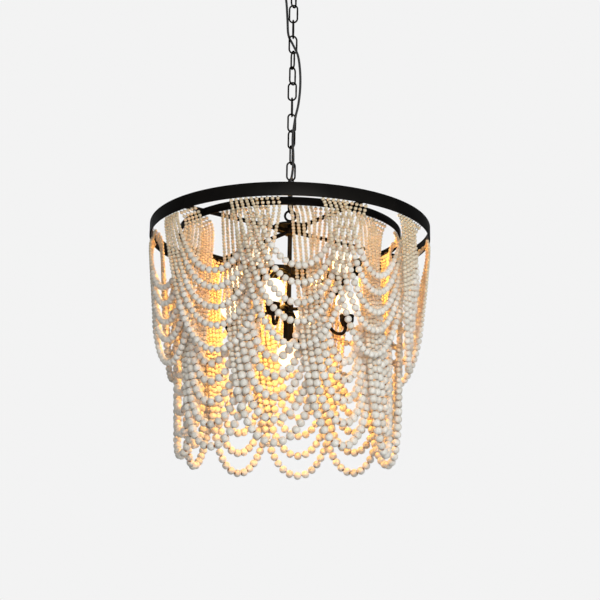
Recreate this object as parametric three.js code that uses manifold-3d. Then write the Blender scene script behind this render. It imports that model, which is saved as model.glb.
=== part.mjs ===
// A two-tier beaded chandelier on a chain. Millimetres, +Z up.
// The origin is the middle of the ceiling bar's top face, and the fixture hangs below it.
// The camera side is -Y. A bearing of 0 degrees points to -Y, and 90 degrees points to +X.
import * as THREE from "three";
import { mergeVertices } from "three/addons/utils/BufferGeometryUtils.js";
import Module from "manifold-3d";

const wasm = await Module();
wasm.setup();

// Clearances
const SEAT_GAP = 0.3; // between pieces that rest on or pass through each other
const STRAND_GAP = 0.5; // between a strand and the hoop that it hangs in
const BULB_GAP = 0.7; // between a bulb's cap and the bore of its cup
const CUT_OVERRUN = 2; // how far a cutting tool runs past what it cuts

// Ceiling bar
const BAR_LENGTH = 96;
const BAR_WIDTH = 20;
const BAR_THICKNESS = 3;
const BAR_BOSS_RADIUS = 8.5;
const BAR_BOSS_HEIGHT = 9;
const BAR_SLOT_WIDTH = 4.6;
const BAR_SLOT_LENGTH = 22;
const BAR_SLOT_OFFSET = 32; // from the middle of the bar to the middle of a slot

// Canopy, its collar and the loop that the chain hangs from
const CANOPY_RADIUS = 60;
const CANOPY_HEIGHT = 25;
const CANOPY_WALL = 1.5;
const CANOPY_RIM_HEIGHT = 6;
const CANOPY_FLAT_RADIUS = 33;
const COLLAR_RADIUS = 11;
const COLLAR_HEIGHT = 8;
const COLLAR_WAIST = 2; // how much narrower the collar is at its foot
const NIPPLE_RADIUS = 5;
const LOOP_RADIUS = 10; // to the middle of the loop's wire
const LOOP_WIRE = 4;

// Chain
const LINK_COUNT = 15;
const LINK_BEND_STEPS = 6; // flat pieces in a link's half turn
const LINK_WIRE = 3.2;
const LINK_LENGTH = 37.9;
const LINK_WIDTH = 18;
// How far each link is turned about Z from the XZ plane, in degrees: the chain hangs a little twisted.
const LINK_TURNS = [-62, 56, -6, 86, 22, -68, 48, -15, 86, 24, -40, 74, 8, 125, 62];

// Stem, its eye and the cap over the cross bars
const EYE_RADIUS = 9.4; // to the middle of the eye's wire
const EYE_WIRE = 4.2;
const EYE_COLLAR_RADIUS = 7.5;
const EYE_COLLAR_HEIGHT = 7;
const EYE_SOCKET_DEPTH = 4.5;
const CAP_RADIUS = 31;
const CAP_HEIGHT = 7.7;
const CAP_WALL = 1.8;
const CAP_RIM_HEIGHT = 4.5;
const STEM_RADIUS = 4;
const STEM_BORE_RADIUS = 2.6;
const SHOULDER_RADIUS = 9;
const SHOULDER_HEIGHT = 4;

// Hoops and the two flat bars that cross under the cap
const OUTER_HOOP_RADIUS = 250;
const OUTER_HOOP_HEIGHT = 23.5;
const HOOP_SPACING = 52; // from the outer hoop's radius to the inner hoop's
const INNER_HOOP_RADIUS = OUTER_HOOP_RADIUS - HOOP_SPACING;
const INNER_HOOP_HEIGHT = 14;
const HOOP_WALL = 2.5;
const CROSS_BAR_HEIGHT = 7.5;
const CROSS_BAR_THICKNESS = 2.5;
const CROSS_BAR_BEARING = 35.5; // degrees
const CROSS_BAR_EYE_RADIUS = 8.5;
const CROSS_BAR_JOIN = 8.5; // how far the half-height part reaches past the eye
const OUTER_HOOP_SEGMENTS = 72;
const INNER_HOOP_SEGMENTS = 50;

// Lamp arms: two sprays of four curved arms on the stem, each arm with a cup and a globe bulb
const SPRAY_ARMS = 4;
const UPPER_SPRAY_DROP = 82; // from the hoop's top edge to the middle of the hub
const LOWER_SPRAY_DROP = 148;
const UPPER_SPRAY_BEARING = -29; // degrees
const LOWER_SPRAY_BEARING = -15;
const SPRAY_HUB_RADIUS = 8;
const SPRAY_HUB_HEIGHT = 20;
const SPRAY_DISC_RADIUS = 10;
const SPRAY_DISC_HEIGHT = 5;
const ARM_RADIUS = 3;
const ARM_REACH = 105; // from the stem to the middle of a cup
const ARM_DROP = 37; // from the middle of the hub to a cup's foot
const ARM_DIP = 12; // how far the arm's bend lies below a cup's foot
const ARM_SHARES = [0.34, 0.62, 0.8, 0.93]; // of the reach, where the arm's curve is set
const ARM_SHALLOW_SHARE = 0.1; // of the drop, at the first of these
const ARM_STEEP_SHARE = 0.62; // of the drop, at the second
const ARM_LAND_SHARE = 0.15; // of the dip, that the third lies above the bend
const ARM_SEAT_SHARE = 0.1; // of the cup's height, that the arm's end goes into it
const ARM_STEPS = 9;
const CUP_RADIUS = 13;
const CUP_FOOT_RADIUS = 8;
const CUP_HEIGHT = 20;
const CUP_BORE_DEPTH = 14;
const BULB_RADIUS = 20;
const BULB_CAP_RADIUS = 7;
const BULB_CAP_LENGTH = 13;
const BULB_NECK_LENGTH = 3; // from the cup's rim to the globe
const BULB_NECK_SHARE = 1.25; // how much wider than its cap the globe starts, as a share of the angle
const BULB_STEPS = 6;
const CUP_BORE_RADIUS = BULB_CAP_RADIUS + BULB_GAP;

// Lampholder and bulb at the stem's foot
const HOLDER_DROP = 161; // from the hoop's top edge to the holder's top
const HOLDER_RADIUS = 9.5;
const HOLDER_LENGTH = 48;
const HOLDER_TOP_LENGTH = 14; // the solid part that the stem screws into
const HOLDER_THREAD_DEPTH = 8;

// Cord laced beside the chain
const CORD_RADIUS = 2.2;
const CORD_HOLE_RADIUS = 3;
const CORD_SIDES = 8;
const CORD_STEPS = 56;

// Swags of beads. Each is one string, laced back and forth through the holes of its hoop.
const HOLE_PITCH = 9; // between the holes that a swag's rows hang from
const THREAD_RADIUS = 0.8;
const THREAD_HEIGHT = 5; // from the first bead of a row up to its hole
const BEAD_TOP_RADIUS = 3;
const BEAD_LARGE_SHARE = 0.4; // of a half row from its foot, up to which its beads stay large
const BEAD_SMALL_SHARE = 0.9; // and from which they stay small
const STRAND_SHARES = [0.15, 0.4, 0.9, 1]; // where a half row has its sections, beside the one at its foot
const LAYER_OFFSET = 11; // how far crossing strands step aside, out at one end and in at the other
const LAYER_INSET = 4; // how far the strands lie further in than their holes
const LAYER_DEPTH = 9; // the fall over which a strand steps aside
const HANG_STEPS = 240; // pieces of a half row when its curve is added up
const HANG_STEEPNESS = [0.01, 1000]; // the least and the most slope tried at a row's ends
const HANG_HALVINGS = 60;
const OUTER_SWAGS = 10;
const OUTER_SWAG_BEARING = 3.6; // degrees, of the first swag's middle
const OUTER_ROW_DROPS = [135, 163, 196, 226, 266]; // from the hoop's top edge to each row's lowest bead
const OUTER_BEAD_RADIUS = 6; // of the large beads
const OUTER_ROUNDING_SHARE = 0; // how far the rows are pushed out from their chords to the hoop's round
const INNER_SWAGS = 10;
const INNER_SWAG_BEARING = -6.6;
const INNER_ROW_DROPS = [279, 309, 343, 380, 417];
const INNER_BEAD_RADIUS = 7.3;
const INNER_ROUNDING_SHARE = 0.75;

// Levels that follow from the sizes above
const CANOPY_FOOT = -CANOPY_HEIGHT;
const COLLAR_TOP = CANOPY_FOOT - SEAT_GAP;
const LOOP_CENTRE = COLLAR_TOP - COLLAR_HEIGHT - LOOP_RADIUS - LOOP_WIRE / 2 + SEAT_GAP;
const LINK_BEND = (LINK_WIDTH - LINK_WIRE) / 2;
const LINK_REACH = LINK_LENGTH - LINK_WIRE; // between the middles of a link's end wires
const LINK_PITCH = LINK_REACH - LINK_WIRE - SEAT_GAP;
const FIRST_LINK_TOP = LOOP_CENTRE - LOOP_RADIUS + (LOOP_WIRE + LINK_WIRE) / 2 + SEAT_GAP;
const LAST_LINK_FOOT = FIRST_LINK_TOP - (LINK_COUNT - 1) * LINK_PITCH - LINK_REACH;
const EYE_CENTRE = LAST_LINK_FOOT + (EYE_WIRE + LINK_WIRE) / 2 + SEAT_GAP - EYE_RADIUS;
const EYE_COLLAR_TOP = EYE_CENTRE - EYE_RADIUS;
const CAP_TOP = EYE_COLLAR_TOP - EYE_COLLAR_HEIGHT - SEAT_GAP;
const HOOP_TOP = CAP_TOP - CAP_HEIGHT - SEAT_GAP;
const INNER_HOOP_TOP = HOOP_TOP - CROSS_BAR_HEIGHT - SEAT_GAP;
const STEM_TOP = EYE_COLLAR_TOP - EYE_COLLAR_HEIGHT + EYE_SOCKET_DEPTH - SEAT_GAP;
const SHOULDER_TOP = HOOP_TOP - CROSS_BAR_HEIGHT - SEAT_GAP;
const HOLDER_TOP = HOOP_TOP - HOLDER_DROP;
const STEM_FOOT = HOLDER_TOP - HOLDER_THREAD_DEPTH + SEAT_GAP;

// The cord's route, from a hole in the canopy to a hole in the cap. It hangs left of the first
// links, passes through the fifth, bows out to the right and winds down in front of the rest.
const CORD_ROUTE = [
  [-24, 7, -19],
  [-23.5, 7, -45],
  [-18, 6.5, -75],
  [-13.5, 6, -105],
  [-11, 6, -140],
  [-8.5, 5.8, -172],
  [0, 0, -193.3],
  [9, -5.5, -216],
  [13.5, -6, -245],
  [14.5, -6, -280],
  [11.5, -6, -315],
  [7, -7.4, -338],
  [4.5, -8.2, -356],
  [2.4, -8.6, -374],
  [2.2, -8.8, -392],
  [3.6, -9, -410],
  [3.8, -8.8, -430],
  [2.6, -8.6, -448],
  [0, -8.6, -466],
  [-0.8, -8.8, -480],
  [1.6, -9.2, -494],
  [6, -9.8, -506],
  [11.5, -10.8, -520],
  [15.2, -12, -534],
  [16, -12.5, -549],
];
const CORD_START = CORD_ROUTE[0];
const CORD_END = CORD_ROUTE[CORD_ROUTE.length - 1];

const blackMetal = new THREE.MeshStandardMaterial({ color: 0x1a1a1a, roughness: 0.5, metalness: 0.8 });
const blackCord = new THREE.MeshStandardMaterial({ color: 0x141414, roughness: 0.8, metalness: 0 });
const paleWood = new THREE.MeshStandardMaterial({ color: 0xd9d0c4, roughness: 0.75, metalness: 0 });
const warmGlass = new THREE.MeshStandardMaterial({ color: 0xfff1d0, roughness: 0.3, metalness: 0 });

const chandelier = new THREE.Group();

// A direction on the floor plan, at a bearing in degrees.
function plan(bearing) {
  const angle = THREE.MathUtils.degToRad(bearing);
  return new THREE.Vector3(Math.sin(angle), -Math.cos(angle), 0);
}

// Turns a group whose own +X is a direction on the plan to that bearing.
function turnTo(object, bearing) {
  object.rotation.z = THREE.MathUtils.degToRad(bearing - 90);
  object.updateMatrixWorld(true);
  return object;
}

function addPiece(name, geometry, material) {
  const mesh = new THREE.Mesh(geometry, material);
  mesh.name = name;
  chandelier.add(mesh);
  return mesh;
}

// A closed geometry as a solid that can be joined and cut, after an optional placing matrix.
function solidOf(geometry, matrix) {
  let bare = geometry.clone();
  if (matrix) bare.applyMatrix4(matrix);
  bare.deleteAttribute("normal");
  bare.deleteAttribute("uv");
  bare = mergeVertices(bare);
  return new wasm.Manifold(
    new wasm.Mesh({
      numProp: 3,
      vertProperties: new Float32Array(bare.attributes.position.array),
      triVerts: new Uint32Array(bare.index.array),
    }),
  );
}

function geometryOf(solid) {
  const mesh = solid.getMesh();
  const geometry = new THREE.BufferGeometry();
  geometry.setAttribute("position", new THREE.BufferAttribute(mesh.vertProperties, 3));
  geometry.setIndex(new THREE.BufferAttribute(mesh.triVerts, 1));
  geometry.computeVertexNormals();
  return geometry;
}

// A profile of [radius, height] pairs turned about Z. Its ends lie on the axis, or it closes on itself.
function turned(profile, segments) {
  const points = profile.map(([r, z]) => new THREE.Vector2(r, z));
  const geometry = new THREE.LatheGeometry(points, segments);
  geometry.rotateX(Math.PI / 2);
  return geometry;
}

// A rod about Z between two heights.
function rod(radius, low, high, segments) {
  return turned([[0, low], [radius, low], [radius, high], [0, high]], segments);
}

// A tube between two heights, open at both ends.
function pipe(radius, bore, low, high, segments) {
  const profile = [[bore, low], [radius, low], [radius, high], [bore, high], [bore, low]];
  return turned(profile, segments);
}

// A tube of changing radius through points. Each ring lies across the path, with one corner
// along `side`. A closed path has no end faces.
function tube(points, radii, sides, side, closed = false) {
  const count = points.length;
  const positions = [];
  const faces = [];
  points.forEach((point, i) => {
    const before = points[closed ? (i + count - 1) % count : Math.max(i - 1, 0)];
    const after = points[closed ? (i + 1) % count : Math.min(i + 1, count - 1)];
    const along = after.clone().sub(before).normalize();
    const across = side.clone().addScaledVector(along, -side.dot(along)).normalize();
    const up = along.clone().cross(across);
    for (let j = 0; j < sides; j++) {
      const turn = (2 * Math.PI * j) / sides;
      const corner = point.clone();
      corner.addScaledVector(across, radii[i] * Math.cos(turn));
      corner.addScaledVector(up, radii[i] * Math.sin(turn));
      positions.push(corner.x, corner.y, corner.z);
    }
  });
  const rings = closed ? count : count - 1;
  for (let i = 0; i < rings; i++) {
    for (let j = 0; j < sides; j++) {
      const a = i * sides + j;
      const b = i * sides + ((j + 1) % sides);
      const c = ((i + 1) % count) * sides + j;
      const d = ((i + 1) % count) * sides + ((j + 1) % sides);
      faces.push(a, b, d, a, d, c);
    }
  }
  if (!closed) {
    const last = (count - 1) * sides;
    for (let j = 1; j < sides - 1; j++) {
      faces.push(0, j + 1, j, last, last + j, last + j + 1);
    }
  }
  const geometry = new THREE.BufferGeometry();
  geometry.setAttribute("position", new THREE.Float32BufferAttribute(positions, 3));
  geometry.setIndex(faces);
  geometry.computeVertexNormals();
  return geometry;
}

// A flat bar on the ceiling, with a slot for a screw at each end and a threaded boss in the middle.
function ceilingBar() {
  const outline = new THREE.Shape();
  const halfStraight = (BAR_LENGTH - BAR_WIDTH) / 2;
  outline.absarc(halfStraight, 0, BAR_WIDTH / 2, -Math.PI / 2, Math.PI / 2, false);
  outline.absarc(-halfStraight, 0, BAR_WIDTH / 2, Math.PI / 2, (3 * Math.PI) / 2, false);
  for (const end of [-1, 1]) {
    const slot = new THREE.Path();
    const middle = end * BAR_SLOT_OFFSET;
    const half = (BAR_SLOT_LENGTH - BAR_SLOT_WIDTH) / 2;
    slot.absarc(middle + half, 0, BAR_SLOT_WIDTH / 2, Math.PI / 2, -Math.PI / 2, true);
    slot.absarc(middle - half, 0, BAR_SLOT_WIDTH / 2, -Math.PI / 2, -(3 * Math.PI) / 2, true);
    outline.holes.push(slot);
  }
  const plate = new THREE.ExtrudeGeometry(outline, {
    depth: BAR_THICKNESS,
    bevelEnabled: false,
    curveSegments: 4,
  });
  plate.translate(0, 0, -BAR_THICKNESS);
  const foot = -BAR_THICKNESS - BAR_BOSS_HEIGHT;
  const boss = rod(BAR_BOSS_RADIUS, foot, -BAR_THICKNESS / 2, 12);
  const bore = rod(NIPPLE_RADIUS + SEAT_GAP, foot - CUT_OVERRUN, -BAR_THICKNESS, 12);
  return geometryOf(solidOf(plate).add(solidOf(boss)).subtract(solidOf(bore)));
}

// A spun dish, open to the ceiling, with a hole for the nipple and one for the cord.
function canopy() {
  const steps = 4;
  const outer = [];
  const inner = [];
  for (let i = 0; i <= steps; i++) {
    const angle = (Math.PI / 2) * (i / steps);
    const bulge = CANOPY_HEIGHT - CANOPY_RIM_HEIGHT;
    const spread = CANOPY_RADIUS - CANOPY_FLAT_RADIUS;
    outer.push([
      CANOPY_FLAT_RADIUS + spread * Math.cos(angle),
      -CANOPY_RIM_HEIGHT - bulge * Math.sin(angle),
    ]);
    inner.push([
      CANOPY_FLAT_RADIUS + (spread - CANOPY_WALL) * Math.cos(angle),
      -CANOPY_RIM_HEIGHT - (bulge - CANOPY_WALL) * Math.sin(angle),
    ]);
  }
  const hole = NIPPLE_RADIUS + SEAT_GAP;
  const profile = [
    [hole, CANOPY_FOOT],
    ...outer.reverse(),
    [CANOPY_RADIUS, 0],
    [CANOPY_RADIUS - CANOPY_WALL, 0],
    ...inner,
    [hole, CANOPY_FOOT + CANOPY_WALL],
    [hole, CANOPY_FOOT],
  ];
  const cordHole = rod(CORD_HOLE_RADIUS, CANOPY_FOOT - CUT_OVERRUN, CORD_START[2], 10);
  cordHole.translate(CORD_START[0], CORD_START[1], 0);
  return geometryOf(solidOf(turned(profile, 24)).subtract(solidOf(cordHole)));
}

function canopyCollar() {
  const bore = NIPPLE_RADIUS + SEAT_GAP;
  const foot = COLLAR_TOP - COLLAR_HEIGHT;
  const waist = COLLAR_RADIUS - COLLAR_WAIST;
  const profile = [
    [bore, foot],
    [waist, foot],
    [COLLAR_RADIUS, foot + COLLAR_HEIGHT / 2],
    [COLLAR_RADIUS, COLLAR_TOP],
    [bore, COLLAR_TOP],
    [bore, foot],
  ];
  return turned(profile, 16);
}

// The loop stands in the XZ plane, under a threaded nipple that goes up into the ceiling bar.
function canopyLoop() {
  const ring = new THREE.TorusGeometry(LOOP_RADIUS, LOOP_WIRE / 2, 8, 16);
  ring.rotateX(Math.PI / 2);
  ring.translate(0, 0, LOOP_CENTRE);
  const top = -BAR_THICKNESS - SEAT_GAP;
  const nipple = rod(NIPPLE_RADIUS, LOOP_CENTRE + LOOP_RADIUS, top, 12);
  return geometryOf(solidOf(ring).add(solidOf(nipple)));
}

// One chain link in the XZ plane, its middle at the origin: two half turns joined by straights.
function chainLink() {
  const half = (LINK_REACH - 2 * LINK_BEND) / 2;
  const points = [];
  for (const end of [1, -1]) {
    for (let i = 0; i <= LINK_BEND_STEPS; i++) {
      const angle = (Math.PI * i) / LINK_BEND_STEPS;
      const x = end * LINK_BEND * Math.cos(angle);
      const z = end * (half + LINK_BEND * Math.sin(angle));
      points.push(new THREE.Vector3(x, 0, z));
    }
  }
  const radii = points.map(() => LINK_WIRE / 2);
  // A corner of the wire's section points into the link, so that links meet wire on wire.
  return tube(points, radii, 6, new THREE.Vector3(0, 1, 0), true);
}

function addChain() {
  for (let i = 0; i < LINK_COUNT; i++) {
    const number = String(i + 1).padStart(2, "0");
    const link = addPiece("chain_link_" + number, chainLink(), blackMetal);
    link.position.z = FIRST_LINK_TOP - i * LINK_PITCH - LINK_REACH / 2;
    link.rotation.z = THREE.MathUtils.degToRad(LINK_TURNS[i]);
  }
}

function cord() {
  const points = CORD_ROUTE.map(([x, y, z]) => new THREE.Vector3(x, y, z));
  const route = new THREE.CatmullRomCurve3(points, false, "centripetal");
  const steps = route.getSpacedPoints(CORD_STEPS);
  const radii = steps.map(() => CORD_RADIUS);
  return tube(steps, radii, CORD_SIDES, new THREE.Vector3(1, 0, 0));
}

// The eye stands in the XZ plane on a collar with a blind socket for the stem.
function stemEye() {
  const ring = new THREE.TorusGeometry(EYE_RADIUS, EYE_WIRE / 2, 8, 16);
  ring.rotateX(Math.PI / 2);
  ring.translate(0, 0, EYE_CENTRE);
  const foot = EYE_COLLAR_TOP - EYE_COLLAR_HEIGHT;
  const collar = rod(EYE_COLLAR_RADIUS, foot, EYE_COLLAR_TOP, 12);
  const socket = rod(STEM_RADIUS + SEAT_GAP, foot - CUT_OVERRUN, foot + EYE_SOCKET_DEPTH, 12);
  return geometryOf(solidOf(ring).add(solidOf(collar)).subtract(solidOf(socket)));
}

// A shallow dished cap over the middle of the cross bars, open below.
function hubCap() {
  const foot = HOOP_TOP + SEAT_GAP;
  const shoulder = foot + CAP_RIM_HEIGHT;
  const hole = STEM_RADIUS + SEAT_GAP;
  const land = EYE_COLLAR_RADIUS + CAP_WALL;
  const profile = [
    [hole, CAP_TOP - CAP_WALL],
    [land, CAP_TOP - CAP_WALL],
    [CAP_RADIUS - CAP_WALL, shoulder - CAP_WALL],
    [CAP_RADIUS - CAP_WALL, foot],
    [CAP_RADIUS, foot],
    [CAP_RADIUS, shoulder],
    [land, CAP_TOP],
    [hole, CAP_TOP],
    [hole, CAP_TOP - CAP_WALL],
  ];
  const cordHole = rod(CORD_HOLE_RADIUS, foot, CAP_TOP + CUT_OVERRUN, 10);
  cordHole.translate(CORD_END[0], CORD_END[1], 0);
  return geometryOf(solidOf(turned(profile, 24)).subtract(solidOf(cordHole)));
}

// The stem is a pipe with a shoulder that carries the cross bars.
function stem() {
  const shoulderFoot = SHOULDER_TOP - SHOULDER_HEIGHT;
  const profile = [
    [STEM_BORE_RADIUS, STEM_FOOT],
    [STEM_RADIUS, STEM_FOOT],
    [STEM_RADIUS, shoulderFoot],
    [SHOULDER_RADIUS, shoulderFoot],
    [SHOULDER_RADIUS, SHOULDER_TOP],
    [STEM_RADIUS, SHOULDER_TOP],
    [STEM_RADIUS, STEM_TOP],
    [STEM_BORE_RADIUS, STEM_TOP],
    [STEM_BORE_RADIUS, STEM_FOOT],
  ];
  return turned(profile, 12);
}

function hoop(radius, height, top, segments) {
  return pipe(radius, radius - HOOP_WALL, top - height, top, segments);
}

// A flat bar on edge across the outer hoop. Its eye fills one half of the bar's height, so that
// the two bars stack on the stem. `upper` says which half.
function crossBar(upper) {
  const middle = HOOP_TOP - CROSS_BAR_HEIGHT / 2;
  const foot = HOOP_TOP - CROSS_BAR_HEIGHT;
  const low = upper ? middle + SEAT_GAP / 2 : foot;
  const high = upper ? HOOP_TOP : middle - SEAT_GAP / 2;
  // The hoop's faceted inner face is a little nearer than its radius.
  const facetShare = Math.cos(Math.PI / OUTER_HOOP_SEGMENTS);
  const reach = (OUTER_HOOP_RADIUS - HOOP_WALL) * facetShare - SEAT_GAP;
  const bar = new THREE.BoxGeometry(2 * reach, CROSS_BAR_THICKNESS, CROSS_BAR_HEIGHT);
  bar.translate(0, 0, middle);
  const clearing = rod(CROSS_BAR_EYE_RADIUS + SEAT_GAP, foot - CUT_OVERRUN, HOOP_TOP + CUT_OVERRUN, 12);
  const eye = rod(CROSS_BAR_EYE_RADIUS, low, high, 12);
  const joinLength = 2 * (CROSS_BAR_EYE_RADIUS + CROSS_BAR_JOIN);
  const join = new THREE.BoxGeometry(joinLength, CROSS_BAR_THICKNESS, high - low);
  join.translate(0, 0, (low + high) / 2);
  const bore = rod(STEM_RADIUS + SEAT_GAP, foot - CUT_OVERRUN, HOOP_TOP + CUT_OVERRUN, 12);
  let solid = solidOf(bar).subtract(solidOf(clearing));
  solid = solid.add(solidOf(join)).add(solidOf(eye)).subtract(solidOf(bore));
  return geometryOf(solid);
}

// A turned hub with curved arms, each ending under a cup. The hub's disc lies above the arms.
function spray(drop, bearing) {
  const level = HOOP_TOP - drop;
  const low = level - SPRAY_HUB_HEIGHT / 2;
  const high = level + SPRAY_HUB_HEIGHT / 2;
  const discTop = high + SPRAY_DISC_HEIGHT;
  const hub = turned([
    [0, low],
    [SPRAY_HUB_RADIUS, low],
    [SPRAY_HUB_RADIUS, high],
    [SPRAY_DISC_RADIUS, high + SPRAY_DISC_HEIGHT / 2],
    [STEM_RADIUS + CAP_WALL, discTop],
    [0, discTop],
  ], 12);
  let solid = solidOf(hub);
  const cupFoot = level - ARM_DROP;
  const rim = cupFoot + CUP_HEIGHT;
  const cup = turned([
    [0, cupFoot],
    [CUP_FOOT_RADIUS, cupFoot],
    [CUP_RADIUS, cupFoot + CUP_HEIGHT / 2],
    [CUP_RADIUS, rim],
    [CUP_BORE_RADIUS, rim],
    [CUP_BORE_RADIUS, rim - CUP_BORE_DEPTH],
    [0, rim - CUP_BORE_DEPTH],
  ], 12);
  const bend = cupFoot - ARM_DIP;
  const armCurve = new THREE.CatmullRomCurve3([
    new THREE.Vector3(SPRAY_HUB_RADIUS / 2, 0, level),
    new THREE.Vector3(ARM_REACH * ARM_SHARES[0], 0, level - ARM_DROP * ARM_SHALLOW_SHARE),
    new THREE.Vector3(ARM_REACH * ARM_SHARES[1], 0, level - ARM_DROP * ARM_STEEP_SHARE),
    new THREE.Vector3(ARM_REACH * ARM_SHARES[2], 0, bend + ARM_DIP * ARM_LAND_SHARE),
    new THREE.Vector3(ARM_REACH * ARM_SHARES[3], 0, bend),
    new THREE.Vector3(ARM_REACH, 0, cupFoot + CUP_HEIGHT * ARM_SEAT_SHARE),
  ]);
  const steps = armCurve.getPoints(ARM_STEPS);
  const arm = tube(steps, steps.map(() => ARM_RADIUS), 6, new THREE.Vector3(0, 1, 0));
  for (let i = 0; i < SPRAY_ARMS; i++) {
    const turn = turnTo(new THREE.Group(), bearing + (360 / SPRAY_ARMS) * i).matrixWorld;
    const shift = new THREE.Matrix4().makeTranslation(ARM_REACH, 0, 0);
    solid = solid.add(solidOf(arm, turn));
    solid = solid.add(solidOf(cup, turn.clone().multiply(shift)));
  }
  const bore = rod(STEM_RADIUS + SEAT_GAP, low - CUT_OVERRUN, discTop + CUT_OVERRUN, 12);
  return geometryOf(solid.subtract(solidOf(bore)));
}

// A globe on a screw cap. Its rim level is 0, the cap reaches down and the globe up.
function bulb() {
  const centre = BULB_NECK_LENGTH + BULB_RADIUS;
  const profile = [[0, -BULB_CAP_LENGTH], [BULB_CAP_RADIUS, -BULB_CAP_LENGTH], [BULB_CAP_RADIUS, 0]];
  const first = Math.asin(BULB_CAP_RADIUS / BULB_RADIUS) * BULB_NECK_SHARE;
  for (let i = 0; i < BULB_STEPS; i++) {
    const angle = first + ((Math.PI - first) * i) / BULB_STEPS;
    profile.push([BULB_RADIUS * Math.sin(angle), centre - BULB_RADIUS * Math.cos(angle)]);
  }
  profile.push([0, centre + BULB_RADIUS]);
  return turned(profile, 10);
}

function addSpray(name, drop, bearing) {
  addPiece(name + "_lamp_arms", spray(drop, bearing), blackMetal);
  for (let i = 0; i < SPRAY_ARMS; i++) {
    const lamp = addPiece(name + "_bulb_" + (i + 1), bulb(), warmGlass);
    const place = plan(bearing + (360 / SPRAY_ARMS) * i).multiplyScalar(ARM_REACH);
    lamp.position.set(place.x, place.y, HOOP_TOP - drop - ARM_DROP + CUP_HEIGHT);
  }
}

// A sleeve screwed to the stem's foot, open below for a bulb that hangs down.
function lampholder() {
  const foot = HOLDER_TOP - HOLDER_LENGTH;
  const thread = STEM_RADIUS + SEAT_GAP;
  const profile = [
    [0, HOLDER_TOP - HOLDER_THREAD_DEPTH],
    [0, HOLDER_TOP - HOLDER_TOP_LENGTH],
    [CUP_BORE_RADIUS, HOLDER_TOP - HOLDER_TOP_LENGTH],
    [CUP_BORE_RADIUS, foot],
    [HOLDER_RADIUS, foot],
    [HOLDER_RADIUS, HOLDER_TOP],
    [thread, HOLDER_TOP],
    [thread, HOLDER_TOP - HOLDER_THREAD_DEPTH],
    [0, HOLDER_TOP - HOLDER_THREAD_DEPTH],
  ];
  return turned(profile, 12);
}

// The beads' radius at a share of a half row from its foot. They grade evenly between the two shares.
function beadRadius(share, largeRadius) {
  const part = (BEAD_SMALL_SHARE - share) / (BEAD_SMALL_SHARE - BEAD_LARGE_SHARE);
  return THREE.MathUtils.lerp(BEAD_TOP_RADIUS, largeRadius, THREE.MathUtils.clamp(part, 0, 1));
}

// How a row hangs: half of it, from its foot to its hole, is added up in small pieces. Its steepness
// grows with the weight of beads below, which for a length goes with the square of their radius. The
// steepness that fits the half span and the sag is found by halving. Returns a function that gives how
// far across and up the row is at a share of its half length.
function hangingRow(halfSpan, sag, largeRadius) {
  const weight = [0];
  for (let i = 0; i < HANG_STEPS; i++) {
    const radius = beadRadius((i + 0.5) / HANG_STEPS, largeRadius);
    weight.push(weight[i] + (radius / largeRadius) ** 2 / HANG_STEPS);
  }
  const curve = (steepness) => {
    const across = [0];
    const up = [0];
    for (let i = 0; i < HANG_STEPS; i++) {
      const slope = (steepness * (weight[i] + weight[i + 1])) / 2;
      const flat = 1 / Math.sqrt(1 + slope * slope);
      across.push(across[i] + flat / HANG_STEPS);
      up.push(up[i] + (flat * slope) / HANG_STEPS);
    }
    return { across, up };
  };
  let low = HANG_STEEPNESS[0];
  let high = HANG_STEEPNESS[1];
  for (let i = 0; i < HANG_HALVINGS; i++) {
    const steepness = Math.sqrt(low * high);
    const { across, up } = curve(steepness);
    if (up[HANG_STEPS] / across[HANG_STEPS] > sag / halfSpan) high = steepness;
    else low = steepness;
  }
  const { across, up } = curve(low);
  const length = halfSpan / across[HANG_STEPS];
  return (share) => {
    const place = share * HANG_STEPS;
    const i = Math.min(Math.floor(place), HANG_STEPS - 1);
    const part = place - i;
    return {
      across: length * (across[i] + part * (across[i + 1] - across[i])),
      up: length * (up[i] + part * (up[i + 1] - up[i])),
    };
  };
}

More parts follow.
